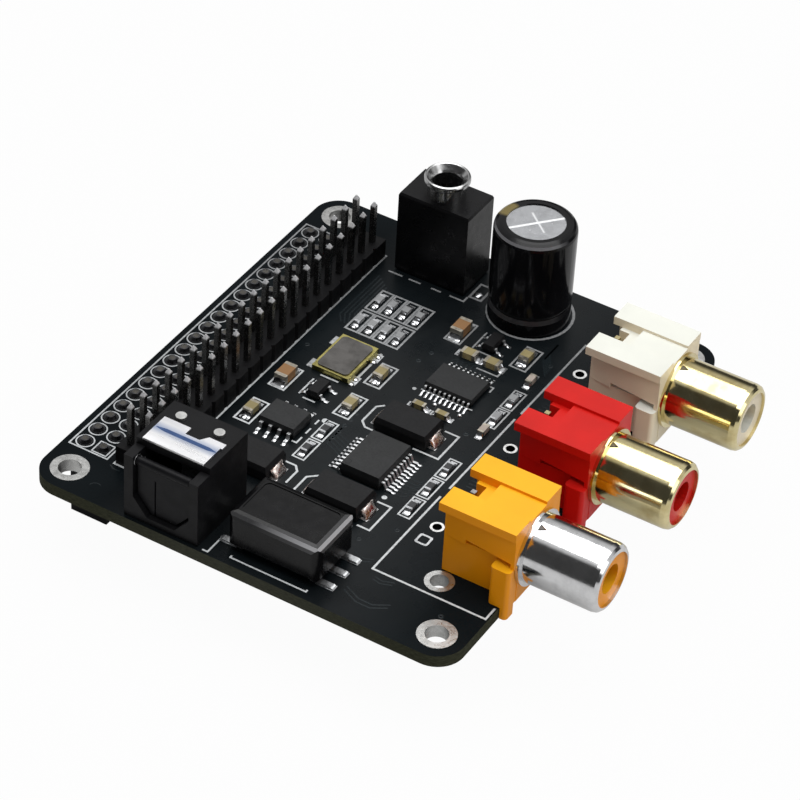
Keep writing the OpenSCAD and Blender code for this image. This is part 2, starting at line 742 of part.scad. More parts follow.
module capacitor_bung() {
    color([0.08, 0.08, 0.08])
        translate([can_pos[0], can_pos[1], pad_z])
            difference() {
                union() {
                    translate([0, 0, can_foot]) cylinder(h = bung_h, r = can_wall_r - bung_in);
                    cylinder(h = can_foot, r = can_wall_r - 2 * bung_in);
                }
                for (p = can_leads)
                    translate([p[0] - can_pos[0], p[1] - can_pos[1], -past])
                        cylinder(h = bung_h + can_foot + 2 * past, r = can_lead_r);
            }
}

module capacitor_leads() {
    color([0.75, 0.75, 0.76])
        for (p = can_leads)
            translate([p[0], p[1], -lead_tail]) cylinder(h = lead_tail + pad_z + can_foot + bung_h, r = can_lead_r);
}

// Phono jack body: a lower block, an upper block that widens towards the front, and a cap
// with two rails, a channel and a notch at its back. A slot runs along each side, a wing
// stands at each front corner with a foot past the board's edge, and a nose carries the barrel
module phono_body(tint) {
    half = rca_w / 2;
    low_half = half - 1.15;
    cap_z = rca_h - rca_channel_d;
    slot_z = rca_axis_h;
    slot = [3.2, 0.5, 0.45, 0.7];
    rail_half = 1.8;
    deep_l = 3.9;
    shallow_d = 0.35;
    notch = [2.5, 1.2];
    recess_d = 1.2;
    leg_w = 0.85;
    back = 0.3;
    color(tint)
        difference() {
            union() {
                phono_block(tin_t, cap_z + rca_channel_d / 3, back, low_half, low_half);
                phono_block(slot_z, cap_z + rca_channel_d / 2, back, low_half, half - 0.1);
                phono_block(cap_z, rca_h, 0, half, half);
                for (side = [-1, 1]) scale([1, side, 1]) phono_wing(low_half, slot_z);
                translate([rca_d - past, 0, slot_z])
                    rotate([0, 90, 0]) cylinder(h = past + rca_nose_l, r = rca_nose_r, $fn = 48);
            }
            // The channel, deep at the back and shallow towards the front
            translate([-past, -rail_half, cap_z]) cube([deep_l + past, 2 * rail_half, rca_channel_d + past]);
            translate([0, -rail_half, rca_h - shallow_d])
                cube([rca_d + past, 2 * rail_half, shallow_d + past]);
            // A recess under the rails' back ends, and the notch in front of it
            translate([-past, -low_half + leg_w, -past])
                cube([recess_d + past, 2 * (low_half - leg_w), cap_z + past]);
            translate([-past, -notch[1], -past]) cube([notch[0] + past, 2 * notch[1], rca_h + 2 * past]);
            // The slot along each side
            for (side = [-1, 1])
                scale([1, side, 1])
                    translate([slot[0], low_half - slot[2], slot_z])
                        cube([rca_d - slot[0] - slot[1], half - low_half + slot[2] + past, slot[3]]);
            // The centre contact
            translate([rca_tube_x, 0, slot_z])
                rotate([0, 90, 0]) cylinder(h = rca_d + rca_nose_l, r = rca_contact_r);
            // The ground tab of the barrel's flange
            translate([rca_tab_x - rca_back - tab_t / 2, -tab_w / 2, -past])
                cube([tab_t, tab_w, slot_z + past]);
            translate([rca_tab_x - rca_back - tab_t / 2, -tab_w / 2, slot_z - rca_contact_r - 1.1])
                cube([rca_front - rca_tab_x + past, tab_w, tab_t]);
        }
}

// A block between two heights, from X = back to the front, with half widths there
module phono_block(low, high, back, back_half, front_half) {
    translate([0, 0, low])
        linear_extrude(high - low)
            polygon([[back, -back_half], [rca_d, -front_half], [rca_d, front_half], [back, back_half]]);
}

// A wing at a front corner of a phono jack, and its foot over the board's edge
module phono_wing(low_half, top) {
    wing_half = rca_w / 2 + 0.75;
    wing = [2.5, wing_half - low_half + 0.5];
    wing_r = 0.5;
    wing_set = 0.05;
    foot_w = 1.5;
    foot_gap = 0.1;
    difference() {
        translate([rca_d - wing_set - wing[0] / 2, wing_half - wing[1] / 2, -rca_foot_h])
            linear_extrude(top + rca_foot_h) rounded_rect(wing[0], wing[1], wing_r);
        // Room for the board, and for the edge between the two feet
        translate([0, 0, -rca_foot_h - past]) cube([rca_inset + foot_gap, rca_w, rca_foot_h + past + tin_t]);
        translate([0, 0, -rca_foot_h - past]) cube([rca_w, wing_half - foot_w, rca_foot_h + past + tin_t]);
    }
}

module at_jack(k) {
    translate([rca_back, rca_y[k], top_z]) children();
}

module phono_body_white() {
    at_jack(0) phono_body([0.9, 0.88, 0.83]);
}

module phono_body_red() {
    at_jack(1) phono_body([0.78, 0.1, 0.08]);
}

module phono_body_yellow() {
    at_jack(2) phono_body([0.95, 0.65, 0.1]);
}

// Barrel: a tube with a rolled front edge, a flange against the body and a ground tab
module phono_shell(tint) {
    r = rca_shell_r;
    w = rca_shell_wall;
    arm_z = rca_axis_h - rca_contact_r - 1.1;
    color(tint) {
        translate([rca_d, 0, rca_axis_h])
            rotate([0, 90, 0])
                rotate_extrude($fn = 48)
                    polygon([
                        [r - w, 0], [rca_flange_r, 0], [rca_flange_r, rca_flange_t], [r, rca_flange_t],
                        [r, rca_shell_l - 0.9], [r - 0.12, rca_shell_l - 0.4], [r - 0.4, rca_shell_l - 0.1],
                        [r - 0.65, rca_shell_l], [r - w - 0.35, rca_shell_l],
                        [r - w - 0.35, rca_nose_l], [r - w, rca_nose_l]
                    ]);
        // The tab passes back through the body and down through the board
        translate([rca_tab_x - rca_back - tab_t / 2, -tab_w / 2, arm_z])
            cube([rca_d - (rca_tab_x - rca_back) + tab_t / 2, tab_w, tab_t]);
        translate([rca_tab_x - rca_back - tab_t / 2, -tab_w / 2, -top_z - lead_tail])
            cube([tab_t, tab_w, arm_z + top_z + lead_tail]);
    }
}

module phono_shell_white() {
    at_jack(0) phono_shell([0.85, 0.68, 0.35]);
}

module phono_shell_red() {
    at_jack(1) phono_shell([0.85, 0.68, 0.35]);
}

module phono_shell_yellow() {
    at_jack(2) phono_shell([0.8, 0.8, 0.82]);
}

// Centre contact: a tube for the plug's pin, and a tail down through the board
module phono_contact() {
    depth = rca_d + rca_nose_l - 1.2;
    back = rca_tail_x - rca_back - rca_tail / 2;
    color([0.85, 0.7, 0.35]) {
        translate([rca_tube_x, 0, rca_axis_h])
            rotate([0, 90, 0])
                difference() {
                    cylinder(h = depth - rca_tube_x, r = rca_contact_r);
                    translate([0, 0, 0.4]) cylinder(h = depth, r = rca_bore_r);
                }
        translate([back, -rca_tail / 2, -top_z - lead_tail])
            cube([rca_tail, rca_tail, top_z + lead_tail + rca_h - rca_channel_d - 0.15]);
        translate([back, -rca_tail / 2, rca_axis_h - rca_tail / 2])
            cube([rca_tube_x - back, rca_tail, rca_tail]);
    }
}

module phono_contact_white() {
    at_jack(0) phono_contact();
}

module phono_contact_red() {
    at_jack(1) phono_contact();
}

module phono_contact_yellow() {
    at_jack(2) phono_contact();
}

// A bent strip, drawn across the part in X and Z, from X = a on a body out to X = b on a pad
module gull_outline(a, b, z, t, foot) {
    knee = a + (b - foot - a) * 0.45;
    polygon([
        [a, z], [knee, z], [b - foot - t * 0.2, 0], [b, 0], [b, t],
        [b - foot + t * 0.5, t], [knee + t * 0.6, z + t], [a, z + t]
    ]);
}

// Two rows of bent leads along Y, facing each other across X
module gull_rows(n, pitch, a, b, z, t, w, foot) {
    for (side = [-1, 1], i = [0 : n - 1])
        translate([0, (i - (n - 1) / 2) * pitch, 0])
            scale([side, 1, 1]) sweep_y(w) gull_outline(a, b, z, t, foot);
}

// Pads under two rows of leads, from behind each foot to a little past its tip
module pad_rows(n, pitch, b, w, foot, ahead) {
    for (side = [-1, 1], i = [0 : n - 1])
        translate([side * (b + (ahead - foot - 0.2) / 2), (i - (n - 1) / 2) * pitch, tin_t / 2])
            cube([foot + 0.2 + ahead, w, tin_t], center = true);
}

module at_chip(k) {
    translate([chips[k][0][0], chips[k][0][1], pad_z]) rotate(chips[k][1]) children();
}

function lead_z(pkg) = pkg[0][2] * 0.45;

module chip_body(k) {
    pkg = chips[k][2];
    band = [lead_z(pkg) - 0.1, lead_z(pkg) + pkg[5] - 0.1];
    color([0.08, 0.08, 0.085])
        at_chip(k)
            translate([0, 0, 0.1])
                moulded_block([pkg[0][0], pkg[0][1], pkg[0][2] - 0.1], band, 0.12);
}

module chip_leads(k) {
    pkg = chips[k][2];
    color([0.78, 0.78, 0.8])
        at_chip(k) gull_rows(pkg[1], pkg[2], pkg[0][0] / 2, pkg[3], lead_z(pkg), pkg[5], pkg[4], pkg[6]);
}

module amplifier_chip() {
    chip_body(0);
}

module amplifier_chip_leads() {
    chip_leads(0);
}

module link_chip() {
    chip_body(1);
}

module link_chip_leads() {
    chip_leads(1);
}

module converter_chip() {
    chip_body(2);
}

module converter_chip_leads() {
    chip_leads(2);
}

module regulators() {
    for (k = [3, 4]) chip_body(k);
}

module regulator_leads() {
    for (k = [3, 4]) chip_leads(k);
}

// Transformer: a case drawn in near its foot and well rounded round its slightly dished top
module case_outline(half, h) {
    foot_in = coil_foot_in;
    r = coil_rim;
    polygon([
        [-half + foot_in, 0], [half - foot_in, 0], [half + past, foot_in + past], [half + past, h - r],
        [half, h - r], [half - 0.13 * r, h - 0.5 * r], [half - 0.5 * r, h - 0.13 * r], [half - r, h],
        [-half + r, h], [-half + 0.5 * r, h - 0.13 * r], [-half + 0.13 * r, h - 0.5 * r],
        [-half, h - r], [-half - past, h - r], [-half - past, foot_in + past]
    ]);
}

module transformer_case() {
    h = coil_size[2] - coil_base_h;
    color([0.05, 0.05, 0.055])
        translate([coil_pos[0], coil_pos[1], pad_z + coil_base_h])
            difference() {
                intersection() {
                    linear_extrude(h) rounded_rect(coil_size[0], coil_size[1], 1.1);
                    sweep_y(coil_size[1] + 1) case_outline(coil_size[0] / 2, h);
                    sweep_x(coil_size[0] + 1) case_outline(coil_size[1] / 2, h);
                }
                translate([0, 0, h - 0.1])
                    linear_extrude(1)
                        rounded_rect(coil_size[0] - 2.4 * coil_rim, coil_size[1] - 2.4 * coil_rim, 0.7);
            }
}

// Each lead comes down out of the case's underside and lies along its pad
module transformer_leads() {
    root = coil_size[0] / 2 - coil_foot_in - 0.7;
    tip = coil_size[0] / 2 + coil_reach;
    t = coil_lead_t;
    color([0.78, 0.78, 0.8])
        translate([coil_pos[0], coil_pos[1], pad_z])
            for (side = [-1, 1], i = [-1, 0, 1])
                translate([0, i * coil_lead_y, 0])
                    scale([side, 1, 1])
                        sweep_y(coil_lead_w)
                            polygon([
                                [root, 0], [tip, 0], [tip, t * 0.7], [tip - t, t],
                                [root + t, t], [root + t, coil_base_h], [root, coil_base_h]
                            ]);
}

// Clock oscillator: a ceramic tub with a welded lid
module oscillator_base() {
    color([0.72, 0.6, 0.3])
        translate([osc_pos[0], osc_pos[1], pad_z + osc_size[2] / 2]) cube(osc_size, center = true);
}

module oscillator_lid() {
    rim = 0.35;
    lid_t = 0.15;
    color([0.55, 0.55, 0.56])
        translate([osc_pos[0], osc_pos[1], pad_z + osc_size[2]])
            linear_extrude(lid_t) rounded_rect(osc_size[0] - 2 * rim, osc_size[1] - 2 * rim, 0.6);
}

// Moulded capacitors: a block, and a strip at each end that folds under it
module moulded_capacitors() {
    color([0.12, 0.12, 0.12])
        for (p = tant_pos)
            translate([p[0], p[1], pad_z + tant_strip_t])
                moulded_block([tant_size[0], tant_size[1], tant_size[2] - tant_strip_t],
                    [0, tant_band], 0.25);
}

module moulded_capacitor_ends() {
    foot = 1.3;
    color([0.75, 0.6, 0.5])
        for (p = tant_pos, side = [-1, 1])
            translate([p[0], p[1], pad_z])
                scale([side, 1, 1])
                    sweep_y(2.4)
                        polygon([
                            [tant_size[0] / 2 - foot, 0], [tant_size[0] / 2 + tant_strip_t, 0],
                            [tant_size[0] / 2 + tant_strip_t, tant_band], [tant_size[0] / 2, tant_band],
                            [tant_size[0] / 2, tant_strip_t], [tant_size[0] / 2 - foot, tant_strip_t]
                        ]);
}

// Chip capacitors and resistors: a block between two tinned ends
module at_cap(c) {
    translate([c[0], c[1], pad_z]) rotate(c[2] * 90) children();
}

module chip_block(size, end) {
    translate([-size[0] / 2 + end, -size[1] / 2, 0]) cube([size[0] - 2 * end, size[1], size[2]]);
}

module chip_ends(size, end) {
    for (side = [-1, 1])
        translate([side * (size[0] - end) / 2 - end / 2, -size[1] / 2, 0]) cube([end, size[1], size[2]]);
}

module chip_capacitors() {
    color([0.66, 0.55, 0.4])
        for (c = chip_caps) at_cap(c) chip_block(cap_size[c[3]], cap_end[c[3]]);
}

module chip_capacitor_ends() {
    color([0.75, 0.75, 0.76])
        for (c = chip_caps) at_cap(c) chip_ends(cap_size[c[3]], cap_end[c[3]]);
}

module chip_resistors() {
    color([0.08, 0.08, 0.09])
        for (p = chip_resistor_pos) at_cap([p[0], p[1], 1]) chip_block(res_size, res_end);
}

module chip_resistor_ends() {
    color([0.75, 0.75, 0.76])
        for (p = chip_resistor_pos) at_cap([p[0], p[1], 1]) chip_ends(res_size, res_end);
}

// Two pads under a chip part, with room for solder in front of each end
module end_pads(size, end) {
    for (side = [-1, 1])
        translate([side * (size[0] / 2 + 0.1), 0, tin_t / 2]) cube([end + 0.9, size[1], tin_t], center = true);
}

// Tinned pads of every part that is soldered to the top face
module solder_pads() {
    color([0.75, 0.75, 0.76])
        translate([0, 0, top_z]) {
            for (chip = chips)
                translate([chip[0][0], chip[0][1], 0])
                    rotate(chip[1]) pad_rows(chip[2][1], chip[2][2], chip[2][3], chip[2][4], chip[2][6], 0.5);
            translate([coil_pos[0], coil_pos[1], 0])
                pad_rows(3, coil_lead_y, coil_size[0] / 2 + coil_reach, coil_lead_w + 0.2, 2, 0.1);
            for (c = chip_caps)
                translate([c[0], c[1], 0]) rotate(c[2] * 90) end_pads(cap_size[c[3]], cap_end[c[3]]);
            for (p = chip_resistor_pos)
                translate([p[0], p[1], 0]) rotate(90) end_pads(res_size, res_end);
            for (p = tant_pos, side = [-1, 1])
                translate([p[0] + side * (tant_size[0] / 2 - 0.3), p[1], tin_t / 2])
                    cube([2.4, 2.6, tin_t], center = true);
            for (x = [-1, 1], y = [-1, 1])
                translate([osc_pos[0] + x * 2.5, osc_pos[1] + y * 2.54, tin_t / 2])
                    cube([1.8, 1.6, tin_t], center = true);
        }
}

// Solder under the board round every lead that isn't a header pin
module lead_fillet(r, h) {
    cylinder(h = h, r1 = r - 0.1, r2 = r * 0.55);
}

module lead_solder() {
    fillet_h = 0.9;
    color([0.72, 0.73, 0.75])
        difference() {
            translate([0, 0, -tin_t])
                mirror([0, 0, 1]) {
                    for (p = lead_holes) translate([p[0], p[1], 0]) lead_fillet(lead_ring_r, fillet_h);
                    for (p = tab_holes) translate([p[0], p[1], 0]) lead_fillet(tab_ring_r, fillet_h);
                }
            for (p = opt_leads) lead_cut(p, 0.4, 0.4);
            for (p = phone_leads) lead_cut(p, strip_t, phone_tail_w);
            for (y = rca_y) lead_cut([rca_tail_x, y], rca_tail, rca_tail);
            for (p = tab_holes) lead_cut(p, tab_t, tab_w);
            for (p = can_leads)
                translate([p[0], p[1], -lead_tail - past]) cylinder(h = lead_tail + 2 * past, r = can_lead_r);
        }
}

module lead_cut(p, w, l) {
    translate([p[0] - w / 2, p[1] - l / 2, -lead_tail - past]) cube([w, l, lead_tail + 2 * past]);
}

board();
hole_plating();
solder_pads();
stacking_socket_body();
stacking_socket_contacts();
stacking_socket_solder();
pin_header_body();
pin_header_pins();
pin_header_solder();
optical_housing();
optical_shutter();
optical_shutter_spring();
optical_emitter();
optical_leads();
optical_top_plate();
optical_studs();
headphone_housing();
headphone_nose();
headphone_contacts();
capacitor_can();
capacitor_sleeve();
capacitor_bung();
capacitor_leads();
phono_body_white();
phono_body_red();
phono_body_yellow();
phono_shell_white();
phono_shell_red();
phono_shell_yellow();
phono_contact_white();
phono_contact_red();
phono_contact_yellow();
transformer_case();
transformer_leads();
amplifier_chip();
amplifier_chip_leads();
link_chip();
link_chip_leads();
converter_chip();
converter_chip_leads();
regulators();
regulator_leads();
oscillator_base();
oscillator_lid();
moulded_capacitors();
moulded_capacitor_ends();
chip_capacitors();
chip_capacitor_ends();
chip_resistors();
chip_resistor_ends();
lead_solder();
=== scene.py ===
import math
import random
import bmesh
import bpy
from mathutils import Matrix, Vector


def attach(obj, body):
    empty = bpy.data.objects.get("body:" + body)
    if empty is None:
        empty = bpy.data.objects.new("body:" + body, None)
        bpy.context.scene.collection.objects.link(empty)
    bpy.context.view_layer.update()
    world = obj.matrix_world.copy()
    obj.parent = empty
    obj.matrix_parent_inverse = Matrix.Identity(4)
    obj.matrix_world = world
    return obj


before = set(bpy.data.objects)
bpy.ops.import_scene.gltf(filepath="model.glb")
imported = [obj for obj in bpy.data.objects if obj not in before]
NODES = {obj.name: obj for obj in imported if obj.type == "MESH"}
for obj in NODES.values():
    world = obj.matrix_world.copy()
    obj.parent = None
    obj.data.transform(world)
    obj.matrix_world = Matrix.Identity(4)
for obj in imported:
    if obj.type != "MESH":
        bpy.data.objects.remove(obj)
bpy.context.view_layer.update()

# Audio expansion board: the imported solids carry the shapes, and this script adds the printed
# lines, solder, tracks and materials. Lengths are millimetres, except where a name ends in _m.
MM = 0.001
rng = random.Random(7)


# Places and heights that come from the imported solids
def box_of(name):
    """The lowest and the highest corner of a CAD node."""
    node = NODES[name]
    corners = [node.matrix_world @ Vector(corner) for corner in node.bound_box]
    return [[round(pick(c[axis] for c in corners) / MM, 4) for axis in range(3)] for pick in (min, max)]


def top_of(name):
    return box_of(name)[1][2]


def middle_of(name, axis):
    low, high = box_of(name)
    return (low[axis] + high[axis]) / 2


TOP = top_of("board")
PAD = top_of("solder_pads")
SOCKET_X = middle_of("stacking_socket_body", 0)
HALF_L = box_of("stacking_socket_body")[1][1]
JACK_Y = {key: middle_of("phono_shell_" + key, 1) for key in ("white", "red", "yellow")}

# How thick the print is, and how far it and the solder reach into what carries them
INK = 0.022
UNDER = 0.003
PITCH, ROWS = 2.54, 20
ROW_Y = [(i - (ROWS - 1) / 2) * PITCH for i in range(ROWS)]
PLATE_LINE_Y = -27.15


# Materials
def new_material(name):
    material = bpy.data.materials.new(name)
    material.use_nodes = True
    tree = material.node_tree
    shader = tree.nodes["Principled BSDF"]
    coords = tree.nodes.new("ShaderNodeTexCoord")
    return material, tree, shader, coords.outputs["Object"]


def noise(tree, vector, per_mm, detail=3.0, rough=0.5, stretch=None):
    """A noise factor whose features are about 1 / per_mm millimetres across."""
    if stretch:
        mapping = tree.nodes.new("ShaderNodeMapping")
        mapping.inputs["Scale"].default_value = stretch
        tree.links.new(vector, mapping.inputs["Vector"])
        vector = mapping.outputs["Vector"]
    node = tree.nodes.new("ShaderNodeTexNoise")
    node.inputs["Scale"].default_value = per_mm * 1000
    node.inputs["Detail"].default_value = detail
    node.inputs["Roughness"].default_value = rough
    tree.links.new(vector, node.inputs["Vector"])
    return node.outputs["Fac"]


def spread(tree, factor, low, high, start=0.3, stop=0.7):
    """The factor's range start to stop, spread over low to high."""
    node = tree.nodes.new("ShaderNodeMapRange")
    node.inputs["From Min"].default_value = start
    node.inputs["From Max"].default_value = stop
    node.inputs["To Min"].default_value = low
    node.inputs["To Max"].default_value = high
    tree.links.new(factor, node.inputs["Value"])
    return node.outputs["Result"]


def blend_colours(tree, factor, dark, light):
    node = tree.nodes.new("ShaderNodeMix")
    node.data_type = "RGBA"
    tree.links.new(factor, node.inputs["Factor"])
    for socket, colour in (("A", dark), ("B", light)):
        target = [s for s in node.inputs if s.name == socket and s.type == "RGBA"][0]
        if isinstance(colour, bpy.types.NodeSocket):
            tree.links.new(colour, target)
        else:
            target.default_value = (*colour, 1)
    return [s for s in node.outputs if s.type == "RGBA"][0]


def maths(tree, operation, *values):
    node = tree.nodes.new("ShaderNodeMath")
    node.operation = operation
    for socket, value in zip(node.inputs, values):
        if isinstance(value, bpy.types.NodeSocket):
            tree.links.new(value, socket)
        else:
            socket.default_value = value
    return node.outputs["Value"]


def parts_of(tree, vector):
    split = tree.nodes.new("ShaderNodeSeparateXYZ")
    tree.links.new(vector, split.inputs["Vector"])
    return split.outputs["X"], split.outputs["Y"], split.outputs["Z"]


def parts_mm(tree, at):
    """The object coordinates, in millimetres."""
    return [maths(tree, "MULTIPLY", part, 1 / MM) for part in parts_of(tree, at)]


def below(tree, value, limit, soft=0.1):
    """1 where the value is under the limit, and 0 over it, with a soft step between."""
    return spread(tree, value, 1.0, 0.0, limit - soft, limit + soft)


def above(tree, value, limit, soft=0.1):
    return spread(tree, value, 0.0, 1.0, limit - soft, limit + soft)


def normal_parts(tree):
    return parts_of(tree, tree.nodes.new("ShaderNodeNewGeometry").outputs["Normal"])


def upright_faces(tree, limit=0.5, soft=0.1):
    """1 on upright faces, and 0 on level ones."""
    return below(tree, maths(tree, "ABSOLUTE", normal_parts(tree)[2]), limit, soft)


def bump(tree, shader, height, depth_mm, strength=1.0, after=None):
    node = tree.nodes.new("ShaderNodeBump")
    node.inputs["Strength"].default_value = strength
    node.inputs["Distance"].default_value = depth_mm * MM
    tree.links.new(height, node.inputs["Height"])
    if after:
        tree.links.new(after, node.inputs["Normal"])
    tree.links.new(node.outputs["Normal"], shader.inputs["Normal"])
    return node.outputs["Normal"]


def moulding(name, colour, rough=0.45, vary=0.25, grain=6.0, grain_mm=0.006, spec=0.2, smudge=0.35, side=None,
             zones=None):
    """A moulded plastic or lacquer: slow colour drift, uneven gloss and a fine grain."""
    material, tree, shader, at = new_material(name)
    slow = noise(tree, at, smudge, 4.0)
    dark = [c * (1 - vary) for c in colour]
    light = [min(1.0, c * (1 + vary)) for c in colour]
    base = blend_colours(tree, spread(tree, slow, 0.0, 1.0), dark, light)
    if side:
        # Painted shade: the upright faces get a warmer, more saturated copy of the colour than the top
        base = blend_colours(tree, upright_faces(tree, 0.5, 0.3), base, side)
    if zones:
        base = zones(tree, at, base)
    tree.links.new(base, shader.inputs["Base Color"])
    gloss = noise(tree, at, smudge * 2.3, 5.0, 0.6)
    tree.links.new(spread(tree, gloss, rough * 0.8, rough * 1.25), shader.inputs["Roughness"])
    shader.inputs["Specular IOR Level"].default_value = spec
    bump(tree, shader, noise(tree, at, grain, 4.0), grain_mm)
    return material


def metal(name, colour, rough=0.22, vary=0.12, grain=4.0, grain_mm=0.002, stretch=None, tarnish=None,
          smudge=0.6, dent=None, zones=None):
    """A plated or drawn metal: patchy gloss, slight tarnish and fine drawing lines.

    A dent is the place of a pressed triangle, coloured near black as painted shade in its hollow.
    """
    material, tree, shader, at = new_material(name)
    shader.inputs["Metallic"].default_value = 1.0
    slow = noise(tree, at, smudge, 4.0, 0.6)
    dark = tarnish or [c * (1 - vary) for c in colour]
    light = [min(1.0, c * (1 + vary * 0.5)) for c in colour]
    base = blend_colours(tree, spread(tree, slow, 0.0, 1.0, 0.32, 0.55), dark, light)
    gloss = noise(tree, at, smudge * 3, 5.0, 0.65)
    tree.links.new(spread(tree, gloss, rough * 0.7, rough * 1.4), shader.inputs["Roughness"])
    pressed = None
    if dent:
        # Painted shade: the pressed triangle is coloured near black
        inside = wedge_mask(tree, at, dent)
        base = blend_colours(tree, maths(tree, "MULTIPLY", inside, 0.96), base, (0.03, 0.025, 0.02))
        pressed = bump(tree, shader, maths(tree, "MULTIPLY", inside, -1.0), 0.08)
    if zones:
        base, lost_shine = zones(tree, at, base)
        if lost_shine:
            tree.links.new(maths(tree, "SUBTRACT", 1.0, lost_shine), shader.inputs["Metallic"])
    tree.links.new(base, shader.inputs["Base Color"])
    bump(tree, shader, noise(tree, at, grain, 3.0, 0.5, stretch), grain_mm, after=pressed)
    return material


def wedge_mask(tree, at, place):
    """A small pressed triangle on a barrel, pointing along +X from the place given."""
    long_mm, half_mm, soft_mm = 0.9, 0.42, 0.05
    x, y, _ = parts_mm(tree, at)
    ahead = maths(tree, "SUBTRACT", x, place[0])
    aside = maths(tree, "ABSOLUTE", maths(tree, "SUBTRACT", y, place[1]))
    room = maths(tree, "MULTIPLY_ADD", ahead, -half_mm / long_mm, half_mm)
    within = spread(tree, maths(tree, "SUBTRACT", room, aside), 0.0, 1.0, -soft_mm, 0.08)
    return maths(tree, "MULTIPLY", within, above(tree, ahead, 0.0, soft_mm))


def ring_zones(tree, at, base):
    """Rings of the two headers are dark, and the test points are bright, with painted shade on their upright
    faces so that the hole looks dark.
    """
    headers_end_x, rows_end_y, test_x, test_half = -15.1, 26.3, 15.5, 1.3
    x, y, _ = parts_mm(tree, at)
    in_rows = below(tree, maths(tree, "ABSOLUTE", y), rows_end_y)
    at_headers = maths(tree, "MULTIPLY", below(tree, x, headers_end_x), in_rows)
    base = blend_colours(tree, at_headers, base, (0.035, 0.035, 0.037))
    in_column = below(tree, maths(tree, "ABSOLUTE", maths(tree, "SUBTRACT", x, test_x)), test_half)
    point = blend_colours(tree, upright_faces(tree), (0.78, 0.78, 0.77), (0.02, 0.02, 0.02))
    return blend_colours(tree, in_column, base, point), None


def pin_tip_highlight(tree, at, base):
    """The cut tips of the pins carry a painted highlight: pale and less metallic."""
    tip = above(tree, parts_mm(tree, at)[2], 9.65, 0.15)
    return blend_colours(tree, tip, base, (0.55, 0.55, 0.56)), maths(tree, "MULTIPLY", tip, 0.8)


def from_line(tree, x, y, place, turn):
    """The distance from a line on the XY plane through the place, turned from +X by the angle."""
    c, s = math.cos(turn), math.sin(turn)
    across = maths(tree, "MULTIPLY_ADD", x, s, place[1] * c - place[0] * s)
    return maths(tree, "ABSOLUTE", maths(tree, "MULTIPLY_ADD", y, -c, across))


def can_score_highlight(tree, at, base):
    """The two score lines that cross on top of the can carry a painted highlight: pale and less metallic."""
    cross, turn, second_half = (4.7, 26.0), math.radians(50), 2.1
    x, y, _ = parts_mm(tree, at)
    across = from_line(tree, x, y, cross, turn)
    along = from_line(tree, x, y, cross, turn + math.pi / 2)
    long_line = below(tree, across, 0.18, 0.06)
    faint_line = maths(tree, "MULTIPLY", below(tree, along, 0.132, 0.06), 0.65)
    short_line = maths(tree, "MULTIPLY", faint_line, below(tree, across, second_half, 0.2))
    score = maths(tree, "MAXIMUM", long_line, short_line)
    return blend_colours(tree, score, base, (0.93, 0.94, 0.95)), maths(tree, "MULTIPLY", score, 0.85)


def case_rim_highlight(tree, at, base):
    """A soft painted highlight on the transformer's rim, at the front and right, strongest at their corner.
    """
    corner_x, fade_x = 8.5, 1.0
    nx, ny, nz = normal_parts(tree)
    rim = maths(tree, "MULTIPLY", above(tree, nz, 0.325, 0.125), below(tree, nz, 0.9425, 0.0425))
    towards = above(tree, maths(tree, "SUBTRACT", nx, ny), 0.225, 0.175)
    right = spread(tree, parts_mm(tree, at)[0], 0.12, 1.0, fade_x, corner_x)
    shine = maths(tree, "MULTIPLY", maths(tree, "MULTIPLY", rim, towards), right)
    return blend_colours(tree, shine, base, (0.30, 0.30, 0.31))


def near(tree, at, place, inner, outer):
    """1 within the inner distance of a place, and 0 past the outer one."""
    node = tree.nodes.new("ShaderNodeVectorMath")
    node.operation = "DISTANCE"
    node.inputs[1].default_value = [c * MM for c in place]
    tree.links.new(at, node.inputs[0])
    return spread(tree, node.outputs["Value"], 1.0, 0.0, inner * MM, outer * MM)


def capacitor_zones(tree, at, base):
    """The two large capacitors are brown, and those in the right-hand column pinkish grey."""
    large, right_x = ((-13, -1.3, PAD), (-0.3, 17.9, PAD)), 10.5
    for place in large:
        base = blend_colours(tree, near(tree, at, place, 2.2, 2.4), base, (0.25, 0.135, 0.06))
    return blend_colours(tree, above(tree, parts_mm(tree, at)[0], right_x), base, (0.36, 0.31, 0.27))


def resistor_zones(tree, at, base):
    """The resistors towards the back are paler."""
    back_y = 4.5
    return blend_colours(tree, above(tree, parts_mm(tree, at)[1], back_y, 0.5), base, (0.25, 0.255, 0.26))


def board_material():
    """Dark lacquer over copper that shows faintly, and a cut laminate edge."""
    material, tree, shader, at = new_material("board_lacquer")
    slow = noise(tree, at, 0.06, 3.0)
    lacquer = blend_colours(tree, spread(tree, slow, 0.0, 1.0), (0.003, 0.0042, 0.005), (0.006, 0.0085, 0.01))
    weave = spread(tree, noise(tree, at, 1.6, 2.0, 0.5, (1.0, 1.0, 6.0)), 0.0, 1.0)
    laminate = blend_colours(tree, weave, (0.022, 0.023, 0.014), (0.052, 0.054, 0.034))
    side = upright_faces(tree, 0.45, 0.15)
    tree.links.new(blend_colours(tree, side, lacquer, laminate), shader.inputs["Base Color"])
    wet = spread(tree, noise(tree, at, 0.4, 5.0, 0.6), 0.24, 0.36)
    tree.links.new(maths(tree, "MULTIPLY_ADD", side, 0.4, wet), shader.inputs["Roughness"])
    # The overhead light lies mostly on the middle of the board
    middle_x = 2.0
    aside = maths(tree, "ABSOLUTE", maths(tree, "SUBTRACT", parts_mm(tree, at)[0], middle_x))
    tree.links.new(spread(tree, aside, 0.18, 0.03, 7.0, 20.0), shader.inputs["Specular IOR Level"])
    waves = bump(tree, shader, noise(tree, at, 0.7, 3.0), 0.012, 0.5)
    bump(tree, shader, noise(tree, at, 5.0, 2.0), 0.003, 0.6, waves)
    return material


